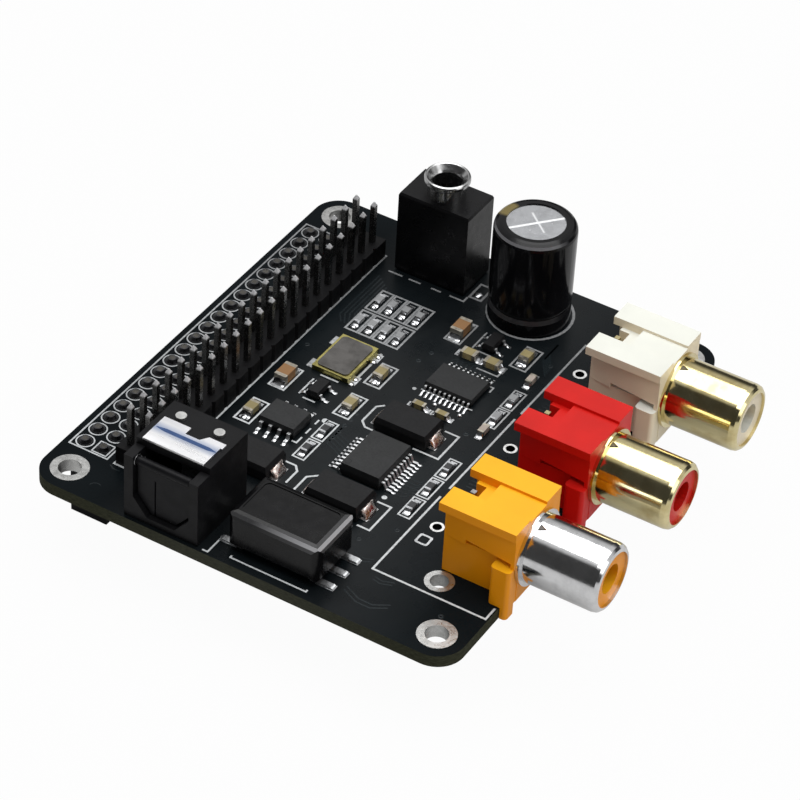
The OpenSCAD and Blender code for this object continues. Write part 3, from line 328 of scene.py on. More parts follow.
def ink_material():
    """Screen-printed ink: off-white, a little worn and uneven."""
    material, tree, shader, at = new_material("print_ink")
    patch = spread(tree, noise(tree, at, 2.5, 4.0, 0.65), 0.0, 1.0, 0.3, 0.6)
    fresh = blend_colours(tree, patch, (0.40, 0.42, 0.43), (0.62, 0.64, 0.65))
    thin = blend_colours(tree, patch, (0.15, 0.155, 0.16), (0.26, 0.265, 0.27))
    # The print thins out towards the back of the board and beside the socket
    x, y, _ = parts_mm(tree, at)
    back = spread(tree, y, 0.0, 1.0, -6.0, 14.0)
    beside = spread(tree, x, 0.6, 0.0, -22.0, -16.0)
    past_corner = spread(tree, y, 0.3, 1.0, -24.0, -16.0)
    worn = maths(tree, "MAXIMUM", back, maths(tree, "MULTIPLY", beside, past_corner))
    tree.links.new(blend_colours(tree, worn, fresh, thin), shader.inputs["Base Color"])
    tree.links.new(spread(tree, noise(tree, at, 4.0), 0.45, 0.7), shader.inputs["Roughness"])
    shader.inputs["Specular IOR Level"].default_value = 0.2
    bump(tree, shader, noise(tree, at, 9.0, 3.0), 0.004)
    return material


def clear_material():
    """Clear moulding of the emitter, milky where it is thick."""
    material, tree, shader, at = new_material("emitter_clear")
    shader.inputs["Transmission Weight"].default_value = 0.7
    shader.inputs["IOR"].default_value = 1.5
    cloud = noise(tree, at, 0.5, 3.0)
    tree.links.new(
        blend_colours(tree, spread(tree, cloud, 0.0, 1.0), (0.62, 0.66, 0.72), (0.86, 0.90, 0.95)),
        shader.inputs["Base Color"])
    tree.links.new(spread(tree, cloud, 0.1, 0.25), shader.inputs["Roughness"])
    bump(tree, shader, noise(tree, at, 3.0), 0.004)
    return material


def sleeve_material():
    """Shrink sleeve: deep black, glossy, drawn slightly wavy, with an olive-gold mark on its rim."""
    mark = (0.5, 26.2, 15.1)
    material, tree, shader, at = new_material("sleeve_film")
    slow = noise(tree, at, 0.12, 3.0)
    base = blend_colours(tree, spread(tree, slow, 0.0, 1.0), (0.0025, 0.0025, 0.003), (0.005, 0.005, 0.006))
    base = blend_colours(tree, near(tree, at, mark, 1.1, 1.6), base, (0.16, 0.125, 0.045))
    # A painted highlight on its rim, towards the front
    _, ny, nz = normal_parts(tree)
    rim = maths(tree, "MULTIPLY", above(tree, nz, 0.36, 0.06), below(tree, nz, 0.58, 0.08))
    shine = maths(tree, "MULTIPLY", rim, below(tree, ny, -0.35, 0.25))
    tree.links.new(blend_colours(tree, shine, base, (0.20, 0.20, 0.21)), shader.inputs["Base Color"])
    tree.links.new(spread(tree, noise(tree, at, 0.5, 4.0), 0.10, 0.17), shader.inputs["Roughness"])
    shader.inputs["Specular IOR Level"].default_value = 0.22
    waves = bump(tree, shader, noise(tree, at, 0.25, 2.0, 0.5, (1.0, 1.0, 0.25)), 0.006, 0.5)
    bump(tree, shader, noise(tree, at, 5.0, 3.0), 0.002, 0.7, waves)
    return material


def package_material(name, colour=(0.010, 0.0105, 0.011), spec=0.3):
    """Chip epoxy: charcoal, sparkled with filler and slightly rough from the mould."""
    material, tree, shader, at = new_material(name)
    fleck = noise(tree, at, 14.0, 2.0, 0.7)
    slow = noise(tree, at, 0.5, 3.0)
    light = [c * 1.9 for c in colour]
    base = blend_colours(tree, spread(tree, slow, 0.0, 0.6), colour, light)
    pale = [c * 2.6 + 0.006 for c in colour]
    base = blend_colours(tree, spread(tree, fleck, 0.0, 0.5, 0.52, 0.8), base, pale)
    tree.links.new(base, shader.inputs["Base Color"])
    tree.links.new(spread(tree, noise(tree, at, 3.0, 4.0), 0.42, 0.6), shader.inputs["Roughness"])
    shader.inputs["Specular IOR Level"].default_value = spec
    bump(tree, shader, noise(tree, at, 11.0, 3.0), 0.008)
    return material


def plate_material():
    """Brushed plate, with a painted highlight along its front edge that fades darker towards the back."""
    material, tree, shader, at = new_material("bright_plate")
    shader.inputs["Metallic"].default_value = 1.0
    bright_y, dark_y = -28.6, -25.2
    y = parts_mm(tree, at)[1]
    streak = noise(tree, at, 1.6, 3.0, 0.6, (0.08, 1.0, 1.0))
    shade = spread(tree, maths(tree, "MULTIPLY_ADD", streak, 1.2, y), 0.0, 1.0, bright_y, dark_y)
    base = blend_colours(tree, shade, (0.95, 0.95, 0.96), (0.78, 0.78, 0.80))
    # A blue haze beside the lacquered line
    aside = maths(tree, "ABSOLUTE", maths(tree, "SUBTRACT", y, PLATE_LINE_Y))
    haze = spread(tree, aside, 0.75, 0.0, 0.2, 1.1)
    tree.links.new(blend_colours(tree, haze, base, (0.22, 0.29, 0.46)), shader.inputs["Base Color"])
    tree.links.new(spread(tree, streak, 0.26, 0.36), shader.inputs["Roughness"])
    bump(tree, shader, noise(tree, at, 4.0, 3.0, 0.5, (0.05, 1.0, 1.0)), 0.0012)
    return material


GOLD = (0.74, 0.65, 0.37)
GOLD_DEEP = (0.56, 0.45, 0.20)
DRAWN_ROUND = (0.2, 1.0, 1.0)


def gold_barrel(key, dent_x, aside):
    """Gold plate, with the barrel's pressed mark aside from its axis."""
    return metal("gold_plate_near_" + key, GOLD, 0.12, 0.12, 2.0, 0.003, stretch=DRAWN_ROUND,
                 tarnish=GOLD_DEEP, smudge=0.25, dent=(dent_x, JACK_Y[key] + aside))


# After each colour: roughness, colour variation, grain per millimetre and the grain's depth
LOOKS = {
    "board": board_material(),
    "ink": ink_material(),
    "track": moulding("track_lacquer", (0.009, 0.013, 0.015), 0.25, 0.2, 5.0, 0.003),
    "tinned": metal("tinned_copper", (0.50, 0.51, 0.52), 0.34, 0.2, 3.0, 0.012),
    "ring": metal("hole_tin", (0.44, 0.44, 0.43), 0.3, 0.22, 2.5, 0.012, zones=ring_zones),
    "solder": metal("solder", (0.66, 0.67, 0.69), 0.2, 0.25, 1.6, 0.03),
    # Painted dark reflection: the solder domes on the socket's tails are coloured near black.
    "dark_tail_solder": metal("tail_solder", (0.07, 0.07, 0.075), 0.3, 0.4, 2.0, 0.03),
    "pink_solder": metal("end_solder", (0.74, 0.68, 0.65), 0.24, 0.2, 1.2, 0.05, tarnish=(0.44, 0.31, 0.27),
                         smudge=0.9),
    "pin_gilt": metal("socket_gilt", (0.10, 0.095, 0.085), 0.3, 0.3),
    "leaf_gilt": metal("contact_gilt", (0.78, 0.60, 0.28), 0.25),
    # Painted dark reflection: the header pins are coloured dark grey, standing in for the dark surroundings
    # they mirror, with a painted highlight on their tips.
    "header_pin": metal("header_pin", (0.18, 0.177, 0.173), 0.24, 0.3, 1.5, 0.0015, stretch=(1.0, 1.0, 0.05),
                        zones=pin_tip_highlight),
    "lead_tin": metal("lead_tin", (0.72, 0.73, 0.74), 0.36, 0.2, 3.0, 0.008),
    "cap_end": metal("capacitor_end", (0.40, 0.37, 0.31), 0.4, 0.25, 3.0, 0.01),
    "header_plastic": moulding("header_plastic", (0.004, 0.004, 0.0045), 0.5, 0.3, 5.0, 0.01, spec=0.12),
    "jack_black": moulding("jack_plastic", (0.0055, 0.0055, 0.0062), 0.42, 0.3, 4.0, 0.008, spec=0.14),
    "shutter_black": moulding("shutter_plastic", (0.006, 0.006, 0.007), 0.4, 0.3, 4.0, 0.006, spec=0.14),
    "phone_black": moulding("phone_plastic", (0.0035, 0.0035, 0.004), 0.3, 0.3, 3.0, 0.008, spec=0.2),
    "case_black": moulding("case_epoxy", (0.003, 0.003, 0.0034), 0.24, 0.3, 2.0, 0.008, spec=0.21,
                           zones=case_rim_highlight),
    "plate": plate_material(),
    "stud": metal("stud_zinc", (0.50, 0.50, 0.49), 0.4, 0.15, 3.0, 0.006),
    "nickel": metal("nickel_plate", (0.70, 0.70, 0.705), 0.12, 0.12, 2.0, 0.003,
                    stretch=DRAWN_ROUND, dent=(29.75, JACK_Y["yellow"] - 1.1)),
    "bright_nickel": metal("nose_nickel", (0.46, 0.46, 0.46), 0.2, 0.12, 2.0, 0.004),
    "gold_white": gold_barrel("white", 29.6, -0.75),
    "gold_red": gold_barrel("red", 29.5, -0.9),
    "gold": metal("gold_plate", GOLD, 0.13, 0.12, 2.0, 0.003, tarnish=GOLD_DEEP, smudge=0.25),
    "wire": metal("spring_wire", (0.4, 0.4, 0.41), 0.3),
    "can": metal("can_aluminium", (0.60, 0.61, 0.63), 0.2, 0.12, 3.0, 0.0008, zones=can_score_highlight),
    "sleeve": sleeve_material(),
    "bung": moulding("bung_rubber", (0.02, 0.02, 0.02), 0.8, 0.3, 5.0, 0.02),
    "clear": clear_material(),
    # The side colours of the three phono bodies are painted shade on their upright faces.
    "ivory": moulding("ivory_plastic", (0.74, 0.745, 0.68), 0.36, 0.05, 3.0, 0.006, smudge=0.15, spec=0.3,
                      side=(0.83, 0.73, 0.55)),
    "red": moulding("red_plastic", (0.54, 0.008, 0.005), 0.38, 0.12, 3.0, 0.006, smudge=0.15, spec=0.22,
                    side=(0.64, 0.006, 0.003)),
    "yellow": moulding("yellow_plastic", (0.88, 0.42, 0.010), 0.38, 0.07, 3.0, 0.006, smudge=0.15, spec=0.25,
                       side=(0.90, 0.32, 0.003)),
    "chip": package_material("chip_epoxy"),
    "chip_dark": package_material("capacitor_epoxy", (0.0045, 0.0045, 0.005), 0.2),
    "lid": metal("oscillator_lid", (0.122, 0.117, 0.112), 0.4, 0.2, 3.0, 0.006, tarnish=(0.085, 0.081, 0.077),
                 smudge=0.3),
    "gilt": metal("gilt_rim", (0.42, 0.37, 0.13), 0.3, 0.25, 3.0, 0.008),
    "tan": moulding("capacitor_tan", (0.26, 0.215, 0.105), 0.5, 0.2, 5.0, 0.01, smudge=0.5,
                    zones=capacitor_zones),
    "glaze": moulding("resistor_glaze", (0.030, 0.031, 0.033), 0.35, 0.4, 5.0, 0.006, smudge=1.2, spec=0.4,
                      zones=resistor_zones),
}

NODE_LOOK = {
    "board": "board", "hole_plating": "ring", "solder_pads": "tinned",
    "stacking_socket_body": "header_plastic", "stacking_socket_contacts": "pin_gilt",
    "stacking_socket_solder": "dark_tail_solder", "pin_header_body": "header_plastic",
    "pin_header_pins": "header_pin", "pin_header_solder": "solder",
    "optical_housing": "jack_black", "optical_shutter": "shutter_black", "optical_shutter_spring": "wire",
    "optical_emitter": "clear", "optical_leads": "tinned", "optical_top_plate": "plate",
    "optical_studs": "stud", "headphone_housing": "phone_black", "headphone_nose": "bright_nickel",
    "headphone_contacts": "leaf_gilt", "capacitor_can": "can", "capacitor_sleeve": "sleeve",
    "capacitor_bung": "bung", "capacitor_leads": "tinned",
    "phono_body_white": "ivory", "phono_body_red": "red", "phono_body_yellow": "yellow",
    "phono_shell_white": "gold_white", "phono_shell_red": "gold_red", "phono_shell_yellow": "nickel",
    "phono_contact_white": "gold", "phono_contact_red": "gold", "phono_contact_yellow": "bright_nickel",
    "transformer_case": "case_black", "transformer_leads": "tinned",
    "amplifier_chip": "chip", "amplifier_chip_leads": "lead_tin", "link_chip": "chip",
    "link_chip_leads": "lead_tin", "converter_chip": "chip", "converter_chip_leads": "lead_tin",
    "regulators": "chip_dark", "regulator_leads": "lead_tin",
    "oscillator_base": "gilt", "oscillator_lid": "lid",
    "moulded_capacitors": "chip_dark", "moulded_capacitor_ends": "pink_solder",
    "chip_capacitors": "tan", "chip_capacitor_ends": "cap_end",
    "chip_resistors": "glaze", "chip_resistor_ends": "solder", "lead_solder": "solder",
}
for node_name, look in NODE_LOOK.items():
    mesh = NODES[node_name].data
    mesh.materials.clear()
    mesh.materials.append(LOOKS[look])


# Mesh helpers
class Shape:
    """Closed solids gathered into one mesh, in millimetres."""

    def __init__(self):
        self.verts = []
        self.faces = []

    def solid(self, verts, faces):
        base = len(self.verts)
        self.verts += [tuple(v) for v in verts]
        self.faces += [tuple(base + i for i in face) for face in faces]

    def ribbon(self, points, width, z0, z1, closed=False):
        """A flat strip along the points, mitred at its corners."""
        pts = [Vector(p) for p in points]
        n = len(pts)
        left, right = [], []
        for i, p in enumerate(pts):
            before = pts[i - 1] if (i or closed) else None
            after = pts[(i + 1) % n] if (i < n - 1 or closed) else None
            d1 = (p - before).normalized() if before is not None else (after - p).normalized()
            d2 = (after - p).normalized() if after is not None else d1
            n1 = Vector((-d1.y, d1.x))
            n2 = Vector((-d2.y, d2.x))
            mitre = (n1 + n2).normalized()
            reach = width / 2 / max(0.35, mitre.dot(n1))
            left.append(p + mitre * reach)
            right.append(p - mitre * reach)
        verts = []
        for side in (left, right):
            verts += [(p.x, p.y, z0) for p in side] + [(p.x, p.y, z1) for p in side]
        faces = []
        steps = n if closed else n - 1
        for i in range(steps):
            j = (i + 1) % n
            faces.append((n + i, 3 * n + i, 3 * n + j, n + j))
            faces.append((i, j, 2 * n + j, 2 * n + i))
            faces.append((i, n + i, n + j, j))
            faces.append((2 * n + i, 2 * n + j, 3 * n + j, 3 * n + i))
        if not closed:
            faces.append((0, 2 * n, 3 * n, n))
            faces.append((n - 1, 2 * n - 1, 4 * n - 1, 3 * n - 1))
        self.solid(verts, faces)

    def ring(self, x, y, outer, inner, z0, z1, sides=32):
        self.turned(x, y, [(inner, z0), (outer, z0), (outer, z1), (inner, z1)], sides)

    def turned(self, x, y, profile, sides=32):
        """A closed profile of (radius, height) turned about an upright axis."""
        n = len(profile)
        verts = []
        for k in range(sides):
            a = 2 * math.pi * k / sides
            verts += [(x + r * math.cos(a), y + r * math.sin(a), z) for r, z in profile]
        faces = []
        for k in range(sides):
            nxt = (k + 1) % sides
            for i in range(n):
                j = (i + 1) % n
                faces.append((k * n + i, nxt * n + i, nxt * n + j, k * n + j))
        self.solid(verts, faces)

    def disc(self, x, y, r, z0, z1, sides=20, dome=0.0):
        """A dot with an optional domed top."""
        rows = [(r, z0), (r, z1)]
        if dome:
            rows += [(r * math.cos(t), z1 + dome * math.sin(t)) for t in (0.35, 0.7, 1.05, 1.35)]
        verts = [(x + q * math.cos(2 * math.pi * k / sides), y + q * math.sin(2 * math.pi * k / sides), z)
                 for q, z in rows for k in range(sides)]
        faces = [tuple(range(sides - 1, -1, -1))]
        for row in range(len(rows) - 1):
            low, high = row * sides, (row + 1) * sides
            for k in range(sides):
                nxt = (k + 1) % sides
                faces.append((low + k, low + nxt, high + nxt, high + k))
        faces.append(tuple((len(rows) - 1) * sides + k for k in range(sides)))
        self.solid(verts, faces)

    def wedge(self, x, y, turn, width, length, height, z0, crown=0.12, sag=1.0):
        """A solder fillet against an upright end at x, y, running out along turn; sag under 1 rounds it."""
        # Shares of the length and the height, and then shares of the width
        profile = [(0.0, 1.0), (0.12, 0.78), (0.3, 0.45), (0.52, 0.2), (0.78, 0.07), (1.0, 0.0)]
        cols = [-0.5, -0.42, -0.2, 0.0, 0.2, 0.42, 0.5]
        c, s = math.cos(turn), math.sin(turn)
        grid = []
        for u, h in profile:
            row = []
            for t in cols:
                edge = 1 - (abs(t) * 2) ** 4
                out = u * length * (0.86 + 0.14 * edge)
                up = (h ** sag * (0.72 + 0.28 * edge) + crown * math.sin(math.pi * u) * edge) * height
                side = t * width
                row.append((x + out * c - side * s, y + out * s + side * c, z0 + max(0.012, up)))
            grid.append(row)
        top = [p for row in grid for p in row]
        low = [(p[0], p[1], z0) for p in top]
        n, m = len(profile), len(cols)
        base = n * m
        faces = []
        for i in range(n - 1):
            for j in range(m - 1):
                near_left, far_left = i * m + j, (i + 1) * m + j
                near_right, far_right = near_left + 1, far_left + 1
                faces.append((near_left, far_left, far_right, near_right))
                faces.append((base + near_left, base + near_right, base + far_right, base + far_left))
        rim = list(range(m)) + [i * m + m - 1 for i in range(1, n)]
        rim += [(n - 1) * m + j for j in range(m - 2, -1, -1)] + [i * m for i in range(n - 2, 0, -1)]
        for k in range(len(rim)):
            a, b = rim[k], rim[(k + 1) % len(rim)]
            faces.append((a, b, base + b, base + a))
        self.solid(top + low, faces)

    def make(self, name, material, body="board", smooth=False):
        mesh = bpy.data.meshes.new(name)
        mesh.from_pydata([(v[0] * MM, v[1] * MM, v[2] * MM) for v in self.verts], [], self.faces)
        work = bmesh.new()
        work.from_mesh(mesh)
        bmesh.ops.recalc_face_normals(work, faces=work.faces)
        work.to_mesh(mesh)
        work.free()
        piece = bpy.data.objects.new(name, mesh)
        bpy.context.scene.collection.objects.link(piece)
        mesh.materials.append(material)
        if smooth:
            mesh.polygons.foreach_set("use_smooth", [True] * len(mesh.polygons))
            mesh.set_sharp_from_angle(angle=math.radians(40))
        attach(piece, body)
        return piece


def box_points(x, y, w, l):
    return [(x - w / 2, y - l / 2), (x + w / 2, y - l / 2), (x + w / 2, y + l / 2), (x - w / 2, y + l / 2)]


def arc(x, y, r, a0, a1, steps):
    angles = [math.radians(a0 + (a1 - a0) * k / steps) for k in range(steps + 1)]
    return [(x + r * math.cos(a), y + r * math.sin(a)) for a in angles]


# Printed lines. Their underside lies just inside the board, and their top is the ink's
Z0, Z1 = TOP - UNDER, TOP + INK


def lines(name, strips, ring_list=(), dots=(), material="ink"):
    """Print of strips (points, width, closed), rings (x, y, outer, inner) and dots (x, y, radius)."""
    shape = Shape()
    for points, width, closed in strips:
        shape.ribbon(points, width, Z0, Z1, closed)
    for x, y, outer, inner in ring_list:
        shape.ring(x, y, outer, inner, Z0, Z1)
    for x, y, r in dots:
        shape.disc(x, y, r, Z0, Z1)
    return shape.make(name, LOOKS[material])


# The middle of the header's printed frame, and the rings round the socket's tails
HEADER_X = -18.175
TAIL_OUT, TAIL_IN = 1.15, 0.98
tail_rings = [(SOCKET_X + side * PITCH / 2, y, TAIL_OUT, TAIL_IN)
              for side in (-1, 1) for y in ROW_Y if not (side > 0 and y == ROW_Y[0])]
lines("print_header_frames", [
    (box_points(SOCKET_X, 0, 5.3, 2 * HALF_L), 0.2, True),
    (box_points(HEADER_X, 0, 5.15, 2 * HALF_L + 0.2), 0.3, True),
    (box_points(SOCKET_X + PITCH / 2, ROW_Y[0], 1.95, 1.95), 0.17, True),
])
lines("print_tail_rings", [], tail_rings)
lines("print_zone_lines", [
    ([(13.1, -9.2), (13.1, -23.95), (27.7, -23.95), (27.7, -21.9)], 0.26, False),
    ([(13.25, -7.5), (13.25, 7.5)], 0.26, False),
    ([(13.35, 8.7), (13.4, 24.4)], 0.26, False),
])
lines("print_edge_jacks", [
    ([(-3.6, -28.9), (-3.6, -32.0), (-4.3, -32.0)], 0.22, False),
    ([(-1.0, -31.0), (-1.0, -31.35), (9.0, -31.35), (9.0, -31.0)], 0.22, False),
    ([(-13.8, 23.2), (-11.8, 23.2)], 0.25, False), ([(-10.9, 23.2), (-9.2, 23.2)], 0.25, False),
    ([(-7.7, 23.2), (-6.3, 23.2)], 0.25, False), ([(-5.1, 23.2), (-3.1, 23.2), (-3.1, 24.2)], 0.25, False),
])
lines("print_can_ring", [(box_points(-2.2, 25.9, 1.6, 2.9), 0.3, True)], [(4.7, 26.0, 5.47, 5.13)])
lines("print_capacitor_brackets", [
    ([(7.6, -14.05), (9.45, -14.05), (9.45, -18.75), (7.8, -18.75)], 0.26, False),
    ([(-0.2, -13.95), (-1.35, -15.0), (-1.35, -17.6), (-0.4, -18.6)], 0.26, False),
    ([(6.1, -3.83), (9.5, -3.8), (9.5, 0.95), (7.6, 0.95)], 0.26, False),
    ([(0.6, -3.7), (-0.5, -3.7), (-1.35, -2.9), (-1.35, 0.2), (-0.6, 0.95)], 0.26, False),
    ([(-5.0, -14.05), (-3.4, -14.05), (-2.75, -14.8), (-2.75, -17.2)], 0.26, False),
])

CAP_BOXES = [(-13, -8.7), (-13, -1.3), (-3.85, 5.3), (-3.9, -1.5), (8.8, 17.9), (-0.3, 17.9)]
RES_BOXES = [(11.4, y) for y in (-12.75, -8.7, -4.7, 6.35, 10.3)] + [(-3.95, -6.95), (-3.95, -10.95)]
BANK = [(-8.6 + i * 1.9, 15.05 + j * 4.6) for i in (-1.5, -0.5, 0.5, 1.5) for j in (-0.5, 0.5)]
strips = [(box_points(x, y, 2.1, 4.3), 0.24, True) for x, y in CAP_BOXES]
strips += [(box_points(x, y, 1.5, 3.6), 0.2, True) for x, y in RES_BOXES]
strips += [(box_points(x, y, 1.6, 4.1), 0.26, True) for x, y in BANK]
lines("print_part_boxes", strips)
lines("print_chip_marks", [
    ([(-5.55, -5.7), (-5.55, -6.6)], 0.22, False), ([(-5.55, -7.5), (-5.55, -8.6)], 0.22, False),
    ([(-5.55, -9.4), (-5.55, -10.6), (-6.2, -10.6)], 0.22, False),
    ([(-10.15, -2.9), (-10.15, 0.4)], 0.22, False), ([(-9.4, -3.25), (-7.7, -3.25)], 0.22, False),
    ([(2.35, 16.1), (2.35, 19.6)], 0.22, False), ([(3.3, 15.95), (5.0, 15.95)], 0.22, False),
    ([(-5.95, 1.9), (-5.95, 8.9)], 0.3, False), ([(-9.9, 1.45), (-7.4, 1.45)], 0.25, False),
    ([(1.3, 6.0), (8.3, 6.0)], 0.2, False), ([(1.3, 11.0), (8.3, 11.0), (8.3, 10.0)], 0.2, False),
    ([(4.7, 13.1), (7.6, 13.1), (7.6, 14.6)], 0.22, False),
], dots=[(-4.9, -5.4, 0.4), (7.9, -13.0, 0.33), (0.6, 5.6, 0.25)])
lines("print_corner_marks", [
    ([(-21.0, -25.95), (-20.35, -26.35), (-19.45, -26.3)], 0.2, False),
    (arc(-20.2, -30.2, 0.75, 60, 175, 8), 0.12, False),
], material="track")


# Bundles of tracks under the lacquer: how many run side by side, then each corner's place and its
# shift from one track to the next
BUNDLES = [
    (6, [(8.6, -11.8, 0, 0.65), (9.4, -11.8, 0.12, 0.65), (10.3, -11.0, 0, 0.62)]),
    (5, [(-0.1, -9.9, 0, 0.65), (-1.2, -9.2, -0.2, 0.65), (-2.6, -8.7, 0, 0.65), (-2.6, -7.9, 0, 0.85)]),
    (8, [(1.6, 12.2, 0.65, 0), (1.6, 12.7, 0.65, 0.15), (2.2, 13.3, 0.65, 0.15)]),
    (7, [(-14.2, 21.8, 0.5, -0.4), (-14.2, 12.6, 0.5, 0.4), (-13.3, 11.4, 0.5, 0)]),
    (4, [(12.2, 16.4, 0, 0.5), (10.6, 18.8, 0, 0.5), (10.6, 22.5, 0, 0)]),
    (2, [(9.9, -22.7, 0, -0.55), (11.4, -23.1, 0, -0.55), (12.5, -22.6, 0, -0.5)]),
    (2, [(12.2, -28.0, 0, -0.6), (14.4, -29.0, 0, -0.6), (16.2, -29.0, 0, -0.6), (17.9, -27.9, 0, -0.6)]),
    (2, [(14.0, -24.9, 0, -0.5), (15.0, -25.1, 0, -0.5), (16.4, -24.6, 0, -0.5)]),
    (5, [(14.6, -6.0, 0, 0.6), (17.6, -6.0, 0, 0.6), (18.6, -5.0, 0, 0.6)]),
    (5, [(14.6, 9.5, 0, 0.6), (17.6, 9.5, 0, 0.6), (18.6, 10.5, 0, 0.6)]),
    (4, [(-14.4, -13.0, 0, -0.55), (-12.5, -13.0, 0, -0.55), (-11.9, -13.6, 0, -0.55)]),
]
VIAS = [(-2.6, -7.4 + 1.3 * k) for k in range(5)] + [(0.4 + 2.2 * k, -20.6) for k in range(5)]
VIAS += [(10.4, -10.6), (9.9, 1.9), (-1.7, 10.4), (-14.3, 5.4), (-1.2, 12.5), (11.8, 18.4), (12.0, -16.9)]
VIAS += [(-12.0, 12.6), (16.9, 24.8), (18.2, 22.9), (16.5, 9.2), (17.4, -10.6), (23.4, -26.3)]
VIAS += [(-13.8, -20.6), (2.2, 21.5)]


def tracks():
    """Low ridges of tracks and low rings round small holes, as the lacquer shows them."""
    track_w, track_h, via_h = 0.2, 0.012, 0.018
    shape = Shape()
    for count, corners in BUNDLES:
        for k in range(count):
            run = [(x + dx * k, y + dy * k) for x, y, dx, dy in corners]
            shape.ribbon(run, track_w, Z0, TOP + track_h)
    for x, y in VIAS:
        shape.turned(x, y, [(0.12, Z0), (0.34, Z0), (0.3, TOP + via_h), (0.17, TOP + via_h)], 14)
    return shape.make("track_ridges", LOOKS["track"], smooth=True)


tracks()


# Solder. Of each chip: its middle, turn, leads a side, pitch, reach, lead width and thickness
CHIPS = {
    "amplifier_chip": ((-8.5, -8.5), 90, 4, 1.27, 3.05, 0.42, 0.2),
    "link_chip": ((4.15, -8.9), 0, 10, 0.65, 3.95, 0.3, 0.16),
    "converter_chip": ((4.75, 8.5), 90, 10, 0.65, 3.25, 0.25, 0.14),
    "regulator_near": ((-8.3, -1.5), 0, 2, 1.9, 1.45, 0.4, 0.15),
    "regulator_far": ((4.3, 17.7), 0, 2, 1.9, 1.45, 0.4, 0.15),
}
# Of each chip capacitor: its middle, whether it lies along Y, and which of the sizes it has
CAPS = [
    (-13, -1.3, 1, 1), (-13, -8.7, 1, 0), (-3.85, 5.3, 1, 0), (-3.9, -1.5, 1, 0), (-0.3, 17.9, 1, 1),
    (2.95, 14.4, 0, 0), (6.15, 14.4, 0, 0), (8.8, 17.9, 1, 0), (11.4, 14.4, 1, 2), (11.4, 3.3, 1, 2),
    (2.9, 2.9, 0, 2), (6, 2.9, 0, 2),
]
# Length, width and height
CAP_SIZES = [(2.0, 1.25, 0.85), (2.7, 1.6, 1.2), (1.6, 0.8, 0.7)]
MOULDED_CAPS = [(4.05, -16.4), (4.05, -1.45), (-8.15, -16.4)]
ON_PAD = PAD - 0.004
OSCILLATOR_EDGE_X = -5.9


def solder_at_chips():
    """A fillet in front of each lead's toe."""
    tuck, toe, deeper = 0.02, 0.42, 1.15
    shape = Shape()
    for (cx, cy), turn, count, pitch, reach, width, thick in CHIPS.values():
        c, s = math.cos(math.radians(turn)), math.sin(math.radians(turn))
        for side in (-1, 1):
            for i in range(count):
                u, v = side * (reach - tuck), (i - (count - 1) / 2) * pitch
                x, y = cx + u * c - v * s, cy + u * s + v * c
                heading = math.radians(turn) + (0 if side > 0 else math.pi)
                shape.wedge(x, y, heading, width * 1.05, toe, thick * deeper, ON_PAD, 0.1)
    return shape.make("solder_chip_toes", LOOKS["solder"], smooth=True)


def solder_at_ends():
    """A fillet against each end of the chip capacitors and resistors."""
    tuck, foot, resistor_w, resistor_end = 0.01, 0.5, 0.8, 0.79
    shape = Shape()
    for x, y, turned, kind in CAPS:
        length, width, height = CAP_SIZES[kind]
        for side in (-1, 1):
            heading = (math.pi / 2 if turned else 0) + (0 if side > 0 else math.pi)
            end = side * (length / 2 - tuck)
            px, py = (x, y + end) if turned else (x + end, y)
            shape.wedge(px, py, heading, width * 0.98, foot, height * rng.uniform(0.55, 0.75), ON_PAD)
    for x, y in RES_BOXES + BANK:
        for side in (-1, 1):
            heading = math.pi / 2 * side
            height = rng.uniform(0.34, 0.44)
            shape.wedge(x, y + side * resistor_end, heading, resistor_w, foot, height, ON_PAD)
    return shape.make("solder_part_ends", LOOKS["solder"], smooth=True)


def solder_at_moulded_ends():
    """Round beads of solder against the strips of the moulded capacitors."""
    strip_face, strip_w, foot = 3.63, 2.3, 0.8
    shape = Shape()
    for x, y in MOULDED_CAPS:
        for side in (-1, 1):
            heading = 0 if side > 0 else math.pi
            height = rng.uniform(1.1, 1.25)
            shape.wedge(x + side * strip_face, y, heading, strip_w, foot, height, ON_PAD, 0.3, 0.55)
    return shape.make("solder_moulded_ends", LOOKS["pink_solder"], smooth=True)


def solder_at_transformer():
    """A skin of solder along each side of the transformer's leads."""
    centre_x, centre_y, pitch, tip, half_w = 3.9, -26.6, 2.58, 7.45, 0.4
    skin_l, skin_out, skin_h, behind_tip, tuck = 1.1, 0.09, 0.16, 0.6, 0.01
    shape = Shape()
    for k in (-1, 0, 1):
        for side in (-1, 1):
            for edge in (-1, 1):
                x = centre_x + side * (tip - behind_tip)
                y = centre_y + k * pitch + edge * (half_w - tuck)
                shape.wedge(x, y, math.pi / 2 * edge, skin_l, skin_out, skin_h, ON_PAD, 0.05)
    return shape.make("solder_transformer", LOOKS["solder"], smooth=True)


def bright_spots():
    """Domed blobs of solder: on the pads in front of parts, and beside the oscillator."""
    in_pad, on_board, before_resistor = PAD - 0.02, TOP + 0.05, 1.45
    # Of each spot: its place, radius, underside, rim, sides and how high its dome stands over the rim
    spots = [(x, y - before_resistor, 0.36, Z0, on_board, 18, 0.22) for x, y in BANK]
    spots += [(OSCILLATOR_EDGE_X, y, 0.36, in_pad, PAD + 0.04, 18, 0.2) for y in (8.0, 6.9, 2.9, 1.9)]
    before_caps = [(-13, -10.3), (-3.85, 3.75), (-3.9, -3.0), (8.8, 16.35)]
    spots += [(x, y, 0.42, in_pad, PAD + 0.02, 18, 0.22) for x, y in before_caps]
    test_points = [(-2.2, 25.2, 0.6), (4.17, 4.35, 0.3), (7.6, 4.3, 0.28)]
    spots += [(x, y, radius, Z0, on_board, 20, 0.25) for x, y, radius in test_points]
    shape = Shape()
    for spot in spots:
        shape.disc(*spot)
    return shape.make("solder_spots", LOOKS["solder"], smooth=True)


solder_at_chips()
solder_at_ends()
solder_at_moulded_ends()
solder_at_transformer()
bright_spots()


